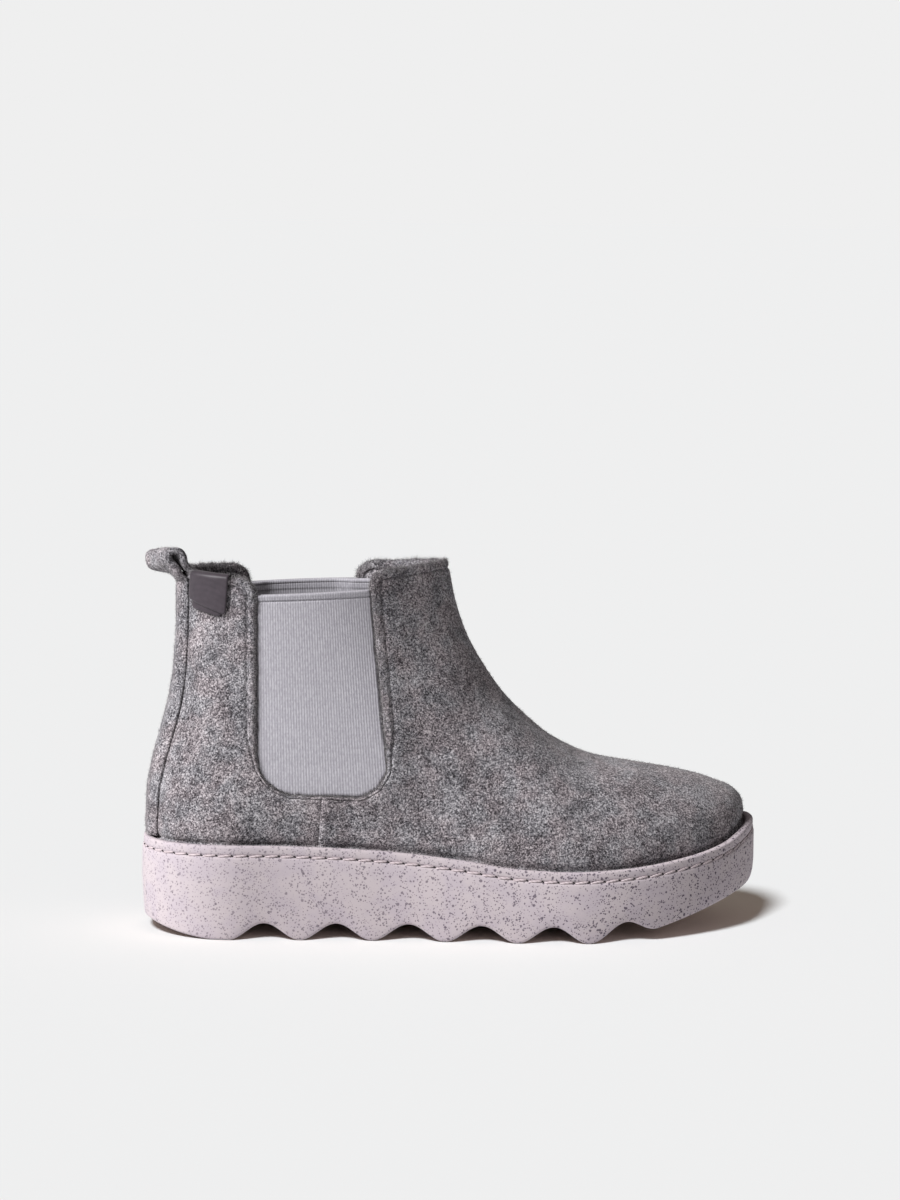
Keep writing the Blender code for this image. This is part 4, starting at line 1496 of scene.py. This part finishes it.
@dataclass
class CupSole:
    """Moulded cup sole: wave tread, bulging side, stitch groove under a rolled rim, and footbed."""

    steps: int = 280
    belly: Pair = (0.0044, 0.0170)
    foot_offset: float = 0.0028
    tread_offset: float = 0.0032
    blank_foot_z: float = -0.0020
    grooves: int = 6
    pitch: float = 0.0302
    depth: float = 0.0072
    first_x: float = -0.0822
    heel_rise: Triple = (0.0060, -0.1020, 1.7)
    toe_spring: Triple = (0.0215, 0.0600, 1.2)
    toe_corner: Triple = (0.0060, 0.1230, 3.0)
    edge_rows: Rows = ((0.0018, 0.0000), (0.0008, 0.0002), (0.0002, 0.0007), (0.0000, 0.0015))
    side_rows: int = 7
    rim_rows: Rows = (
        (0.0043, 0.0057), (0.0042, 0.0053), (0.0040, 0.0050), (0.0036, 0.0047), (0.0034, 0.0044),
        (0.0034, 0.0041), (0.0035, 0.0038), (0.0037, 0.0035), (0.0038, 0.0031), (0.0038, 0.0020),
        (0.0038, 0.0009), (0.0036, 0.0004), (0.0032, 0.0001), (0.0022, 0.0000), (0.0014, 0.0001),
        (0.0009, 0.0003), (0.0006, 0.0009), (0.0003, 0.0060), (0.0003, 0.0120),
    )
    across: int = 12
    stitch_pitch: float = 0.0065
    stitch_line: Pair = (0.0037, 0.0043)
    stitch_slope: float = 0.0004
    stitch_reach: float = 0.46
    stitch_radius: float = 0.00052
    hole_reach: Pair = (0.36, 0.58)
    hole_sunk: float = 0.0001
    hole_radius: float = 0.00034
    thread_sides: int = 8

    def tread_z(self, x: Array) -> Array:
        """Underside of the sole: heel rise, wave and toe spring.

        Args:
            x: Places along the foot.

        Returns:
            Its height at each.
        """
        rise, start, power = self.heel_rise
        z = rise * (np.maximum(start - x, 0.0) / (LAST.half_length + start)) ** power
        for rise, start, power in (self.toe_spring, self.toe_corner):
            z = z + rise * (np.maximum(x - start, 0.0) / (LAST.half_length - start)) ** power
        turn = (x - self.first_x) / self.pitch
        cut = self.depth * (0.5 + 0.5 * np.cos(2 * np.pi * turn))
        return z + np.where((turn > -0.5) & (turn < self.grooves - 0.5), cut, 0.0)

    def side_profile(self) -> Array:
        """Points up the side, over the rim and down to the footbed.

        Returns:
            Points by row, place round the outline and axis.
        """
        belly, below = self.belly
        top, top_under = self.rim_rows[0]
        base = LAST.outline(0.0, self.steps)[:, :2]
        unit = LAST.outline(1.0, self.steps)[:, :2] - base
        rough = LAST.outline(self.tread_offset, self.steps)
        rim = LAST.rim_z(rough[:, 2])
        tread = self.tread_z(rough[:, 0])

        def lean(z: Array) -> Array:
            """Offset of the side at a height.

            Args:
                z: Height at each place round the outline.

            Returns:
                The offset at each.
            """
            low = mix(self.foot_offset, belly, (z - self.blank_foot_z) / (rim - below - self.blank_foot_z))
            high = mix(belly, top, (z - rim + below) / (below - top_under))
            return np.where(z < rim - below, low, high)

        def ring(offset: Values, z: Array) -> Array:
            """The outline moved out, at a height."""
            return np.column_stack([base + unit * np.reshape(offset, (-1, 1)), z])

        made = [ring(lean(tread) - inward, tread + up) for inward, up in self.edge_rows]
        foot = made[-1][:, 2]
        for k in range(1, self.side_rows):
            z = mix(foot, rim - top_under, k / self.side_rows)
            made.append(ring(lean(z), z))
        made.extend(ring(offset, rim - under) for offset, under in self.rim_rows)
        return np.array(made)

    def build(self, finish: Material) -> Object:
        """Makes the sole from slices across the foot.

        Args:
            finish: The rubber.

        Returns:
            The piece.
        """
        side = self.side_profile()
        count = 2 * self.steps
        outer = side[:, :self.steps + 1]
        inner = side[:, (-np.arange(self.steps + 1)) % count]
        share = np.linspace(0.0, 1.0, self.across + 1)[1:-1, None, None]
        under = mix(inner[0], outer[0], share)
        under[:, :, 2] = self.tread_z(under[:, :, 0])
        bed = mix(outer[-1], inner[-1], share)
        bed[:, :, 2] = LAST.rim_z(bed[:, :, 0]) - LAST.cup_depth
        around = np.concatenate([outer, bed, inner[::-1], under, outer[:1]])
        bm = mapped_grid(self.steps, len(around) - 1, lambda i, j: around[j, i])
        close_up(bm)
        piece = piece_of(bm, "cup_sole", finish)
        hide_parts("sole")
        return piece

    def stitch_path(self) -> tuple[Array, Array, float]:
        """The stitch line.

        Returns:
            Its points, the outward direction at each, and its length.
        """
        offset, under = self.stitch_line
        ring = LAST.outline(offset, self.steps)
        out = LAST.outline(1.0, self.steps)[:, :2] - LAST.outline(0.0, self.steps)[:, :2]
        points = np.column_stack([ring[:, :2], LAST.rim_z(ring[:, 2]) - under])
        points = np.vstack([points, points[:1]])
        out = np.vstack([out, out[:1]])
        return points, np.column_stack([out, np.zeros(len(out))]), steps_along(points)[-1]

    def build_stitches(self, thread: Material, shade: Material) -> list[Object]:
        """Makes the stitches round the rim, and near-black spindles in the holes that they dive into, as
        painted shade.

        Args:
            thread: Finish of the thread.
            shade: Finish of the painted shade in the holes.

        Returns:
            The stitches and the painted shade in the holes.
        """
        points, out, length = self.stitch_path()
        distance = steps_along(points)
        count = round(length / self.stitch_pitch)
        pitch = length / count

        def at(d: float, sunk: float, up: float) -> Vector:
            """A point near the stitch line.

            Args:
                d: Distance along the line.
                sunk: How far the point lies inwards.
                up: How far it lies above.

            Returns:
                The point.
            """
            line = points - sunk * out
            here = [np.interp(d % length, distance, line[:, k]) for k in range(3)]
            return Vector(here) + Vector((0.0, 0.0, up))

        stitches, holes = bmesh.new(), bmesh.new()
        for k in range(count):
            d = k * pitch
            slope = self.stitch_slope if d < length / 2 else -self.stitch_slope
            back, front = d - self.stitch_reach * pitch, d + self.stitch_reach * pitch
            a, b = at(back, 0.0, -slope), at(front, 0.0, slope)
            add_spindle(stitches, a, b, self.stitch_radius, self.thread_sides)
            # Painted shade: a dark spindle sunk in each needle hole.
            back, front = (d + reach * pitch for reach in self.hole_reach)
            a, b = at(back, self.hole_sunk, slope), at(front, self.hole_sunk, -slope / 2)
            add_spindle(holes, a, b, self.hole_radius, self.thread_sides)
        return [
            piece_of(stitches, "sole_stitches", thread),
            piece_of(holes, "stitch_hole_shade", shade),
        ]


@dataclass
class Insole:
    """Felt insole lying on the footbed."""

    thickness: float = 0.0040
    steps: int = 110
    across: int = 26
    round_columns: float = 1.5

    def build(self, finish: Material) -> Object:
        """Makes the insole with a rounded edge.

        Args:
            finish: The felt.

        Returns:
            The piece.
        """
        ring = LAST.outline(-(LAST.felt + 2 * LAST.gap), self.steps)
        outer = ring[:self.steps + 1]
        inner = ring[(-np.arange(self.steps + 1)) % (2 * self.steps)]
        bed = LAST.rim_z(outer[:, 0]) - LAST.cup_depth + LAST.gap
        rise = self.thickness - LAST.gap

        def place(i: Array, j: Array) -> Array:
            """Points of the top, from one edge to the other, then of the underside back again.

            Args:
                i: Slice of each point, from heel to toe.
                j: Place of each point in its slice.

            Returns:
                The points.
            """
            top = j <= self.across
            share = np.where(top, j, 2 * self.across - j) / self.across
            flat = mix(outer[i, :2], inner[i, :2], share[:, None])
            edge = np.minimum(share, 1 - share) * self.across
            fall = np.clip(1 - edge / self.round_columns, 0.0, 1.0)
            lift = np.where(top, rise * np.sqrt(1 - fall ** 2), 0.0)
            return np.column_stack([flat, bed[i] + lift])

        bm = mapped_grid(self.steps, 2 * self.across, place)
        close_up(bm)
        piece = piece_of(bm, "felt_insole", finish)
        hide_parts("insole")
        return piece


@dataclass
class Nap:
    """Loose hairs that stand off a felt piece, as one joined mesh of thin closed slivers."""

    name: str
    hairs: int
    seed: int
    length: Pair = (0.0006, 0.0019)
    width: float = 0.00010
    lift: Pair = (0.05, 1.10)
    sunk: float = 0.00008
    flatness: float = 0.8

    def build(self, felt: Object, chance: Form, finish: Material) -> Object:
        """Scatters the hairs.

        Args:
            felt: The piece that they grow from.
            chance: Takes the middles and normals of its triangles and gives how hairy each is.
            finish: The hair.

        Returns:
            The piece.
        """
        random = np.random.default_rng(self.seed)
        graph = bpy.context.evaluated_depsgraph_get()
        seen = felt.evaluated_get(graph).to_mesh()
        seen.calc_loop_triangles()
        places = np.array([v.co for v in seen.vertices])
        corners = places[np.array([t.vertices for t in seen.loop_triangles])]
        face = np.cross(corners[:, 1] - corners[:, 0], corners[:, 2] - corners[:, 0])
        area = np.linalg.norm(face, axis=1)
        normals = face / np.maximum(area, LEAST_AREA)[:, None]
        weight = area * chance(corners.mean(axis=1), normals)
        pick = random.choice(len(weight), self.hairs, p=weight / weight.sum())
        a, b = random.random((2, self.hairs, 1))
        fold = a + b > 1
        a, b = np.where(fold, 1 - a, a), np.where(fold, 1 - b, b)
        tri, up = corners[pick], normals[pick]
        root = tri[:, 0] + a * (tri[:, 1] - tri[:, 0]) + b * (tri[:, 2] - tri[:, 0])
        lie = np.cross(up, random.normal(size=(self.hairs, 3)))
        lie /= np.linalg.norm(lie, axis=1, keepdims=True)
        way = lie + up * mix(*self.lift, random.random((self.hairs, 1)) ** 2)
        way /= np.linalg.norm(way, axis=1, keepdims=True)
        across = np.cross(way, up)
        across /= np.linalg.norm(across, axis=1, keepdims=True)
        over = np.cross(across, way)
        long = random.uniform(*self.length, (self.hairs, 1))
        root = root - up * self.sunk
        points = np.stack([
            root + across * self.width / 2, root - across * self.width / 2,
            root + over * self.width * self.flatness, root + way * long,
        ], axis=1).reshape(-1, 3)
        sliver = np.array([(0, 2, 1), (0, 1, 3), (1, 2, 3), (2, 0, 3)])
        faces = (4 * np.arange(self.hairs)[:, None, None] + sliver).reshape(-1, 3)
        mesh = bpy.data.meshes.new(self.name)
        mesh.from_pydata(points.tolist(), [], faces.tolist())
        tone = mesh.attributes.new("tone", "FLOAT", "POINT")
        tone.data.foreach_set("value", np.repeat(random.random(self.hairs), 4).astype(np.float32))
        felt.evaluated_get(graph).to_mesh_clear()
        return dressed(mesh, self.name, finish)


# Stage

@dataclass(frozen=True)
class Lamp:
    """A broad, distant studio lamp: strength, how wide it looks in degrees, and where it shines from."""

    name: str
    strength: float
    width: float
    shines_from: Triple
    colour: str = "#ffffff"

    def build(self, lit: list[Object]) -> None:
        """Hangs the lamp.

        Args:
            lit: The objects that it lights.
        """
        sun = bpy.data.lights.new(self.name, "SUN")
        sun.energy = self.strength
        sun.angle = math.radians(self.width)
        sun.color = linear(self.colour)[:3]
        lamp = bpy.data.objects.new(self.name, sun)
        lamp.rotation_euler = Vector(self.shines_from).to_track_quat("Z", "Y").to_euler()
        bpy.context.scene.collection.objects.link(lamp)
        group = bpy.data.collections.new(self.name + "_lights")
        for obj in lit:
            group.objects.link(obj)
        lamp.light_linking.receiver_collection = group


@dataclass
class Studio:
    """Pale seamless floor, soft light from the upper left, and the camera at the photograph's angle."""

    image: tuple[int, int] = (900, 1200)
    focal_px: float = 3873.0
    sensor_mm: float = 36.0
    far_end: float = 200.0
    distance: float = 1.650
    target: Triple = (-0.002, 0.0, 0.140)
    azimuth: float = -6.3
    elevation: float = 6.0
    roll: float = 0.85
    floor_half: float = 40.0
    floor_colour: str = "#f1e2d4"
    backdrop: float = 0.863
    backdrop_colour: str = "#ffffff"
    sky: float = 0.19
    sky_colour: str = "#fdf7f3"
    key: Lamp = Lamp("key", 5.75, 26.0, (-0.745, -0.316, 0.588))
    floor_light: Lamp = Lamp("floor_light", 5.55, 11.0, (-0.30, -0.70, 0.645), "#d9ecff")

    def build_floor(self) -> Object:
        """Makes the floor, which isn't part of the object.

        Returns:
            The floor.
        """
        bm = bmesh.new()
        bmesh.ops.create_grid(bm, x_segments=2, y_segments=2, size=self.floor_half)
        mesh = bpy.data.meshes.new("floor")
        bm.to_mesh(mesh)
        bm.free()
        made, shader = new_finish("matt_paper_floor", {"Roughness": 1.0, "Specular IOR Level": 0.0})
        shader.inputs["Base Color"].default_value = linear(self.floor_colour)
        mesh.materials.append(made)
        floor = bpy.data.objects.new("floor", mesh)
        bpy.context.scene.collection.objects.link(floor)
        floor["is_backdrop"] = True
        return floor

    def build_light(self, floor: Object) -> None:
        """A broad key from the left on the slipper, a higher lamp on the floor, and an even sky.

        The camera sees the sky as the backdrop's own grey.

        Args:
            floor: The floor, which has a lamp of its own so that the key's long shadow doesn't cross it.
        """
        self.key.build(list(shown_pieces()))
        self.floor_light.build([floor])
        world = bpy.data.worlds.new("studio")
        world.use_nodes = True
        tree = world.node_tree
        light = tree.nodes["Background"]
        light.inputs["Color"].default_value = linear(self.sky_colour)
        light.inputs["Strength"].default_value = self.sky
        backdrop = add_node(tree, "ShaderNodeBackground", {
            "Color": linear(self.backdrop_colour), "Strength": self.backdrop,
        })
        ray = add_node(tree, "ShaderNodeLightPath")
        either = add_node(tree, "ShaderNodeMixShader", None, {
            0: ray.outputs["Is Camera Ray"],
            1: light.outputs["Background"],
            2: backdrop.outputs["Background"],
        })
        tree.links.new(either.outputs["Shader"], tree.nodes["World Output"].inputs["Surface"])
        scene = bpy.context.scene
        scene.world = world
        scene.view_settings.view_transform = "Standard"

    def build_camera(self) -> None:
        """The camera, rolled a little as the photograph is."""
        a, e, r = (math.radians(v) for v in (self.azimuth, self.elevation, self.roll))
        back = Vector((math.sin(a) * math.cos(e), -math.cos(a) * math.cos(e), math.sin(e)))
        right = Vector((math.cos(a), math.sin(a), 0.0))
        up = back.cross(right)
        turned_right = math.cos(r) * right + math.sin(r) * up
        turned_up = math.cos(r) * up - math.sin(r) * right
        data = bpy.data.cameras.new("camera")
        data.sensor_width = self.sensor_mm
        data.lens = self.focal_px / max(self.image) * data.sensor_width
        data.clip_end = self.far_end
        camera = bpy.data.objects.new("camera", data)
        place = Matrix((turned_right, turned_up, back)).transposed().to_4x4()
        place.translation = Vector(self.target) + self.distance * back
        camera.matrix_world = place
        bpy.context.scene.collection.objects.link(camera)
        bpy.context.scene.camera = camera


def main() -> None:
    """Builds the slipper and its stage in order."""
    logging.basicConfig(level=logging.INFO, format="%(name)s: %(message)s")
    felt, hair = WoolFelt().make(), LooseWool().make()
    rubber, elastic, tape = SpeckledRubber().make(), WovenElastic().make(), WovenTape().make()
    pale_thread = SewingThread("pale_sewing_thread", "#a39699", "#bdb0b4").make()
    # Dark grey edge thread: partly the thread's own colour, partly painted shade of the stitch pits.
    grey_thread_and_pit_shade = SewingThread("grey_sewing_thread_and_pit_shade", "#4a474b", "#656266").make()
    # Painted shade: near-black finish for the spindles in the sole's needle holes.
    hole_shade = SewingThread("needle_hole_shade", "#1f191b", "#2b2326").make()

    sole, upper = CupSole(), Upper()
    pieces = [sole.build(rubber), *sole.build_stitches(pale_thread, hole_shade), Insole().build(felt)]
    skin = upper.build(felt)
    pieces += [
        skin,
        upper.build_stitches(grey_thread_and_pit_shade),
        Gusset(Side.OUTER).build("elastic_outer", "gusset_outer", elastic, upper),
        Gusset(Side.INNER).build("elastic_inner", "gusset_inner", elastic, upper),
    ]
    strip = HeelStrip().build(felt)
    pieces += [strip, TapeTab().build(tape)]
    fringe = Nap("edge_fringe", 20000, 13, length=(0.0008, 0.0026), width=0.00011, lift=(0.20, 2.00))
    pieces += [
        Nap("upper_nap", 45000, 11).build(skin, upper.outer_face, hair),
        Nap("strip_nap", 9000, 12).build(strip, lambda middles, _: np.ones(len(middles)), hair),
        fringe.build(skin, lambda middles, _: bell(upper.edge_distance(middles), FRINGE_REACH), hair),
    ]
    for piece in pieces:
        log.info("%s: %d faces", piece.name, len(piece.data.polygons))

    studio = Studio()
    studio.build_light(studio.build_floor())
    studio.build_camera()


if __name__ == "__main__":
    main()
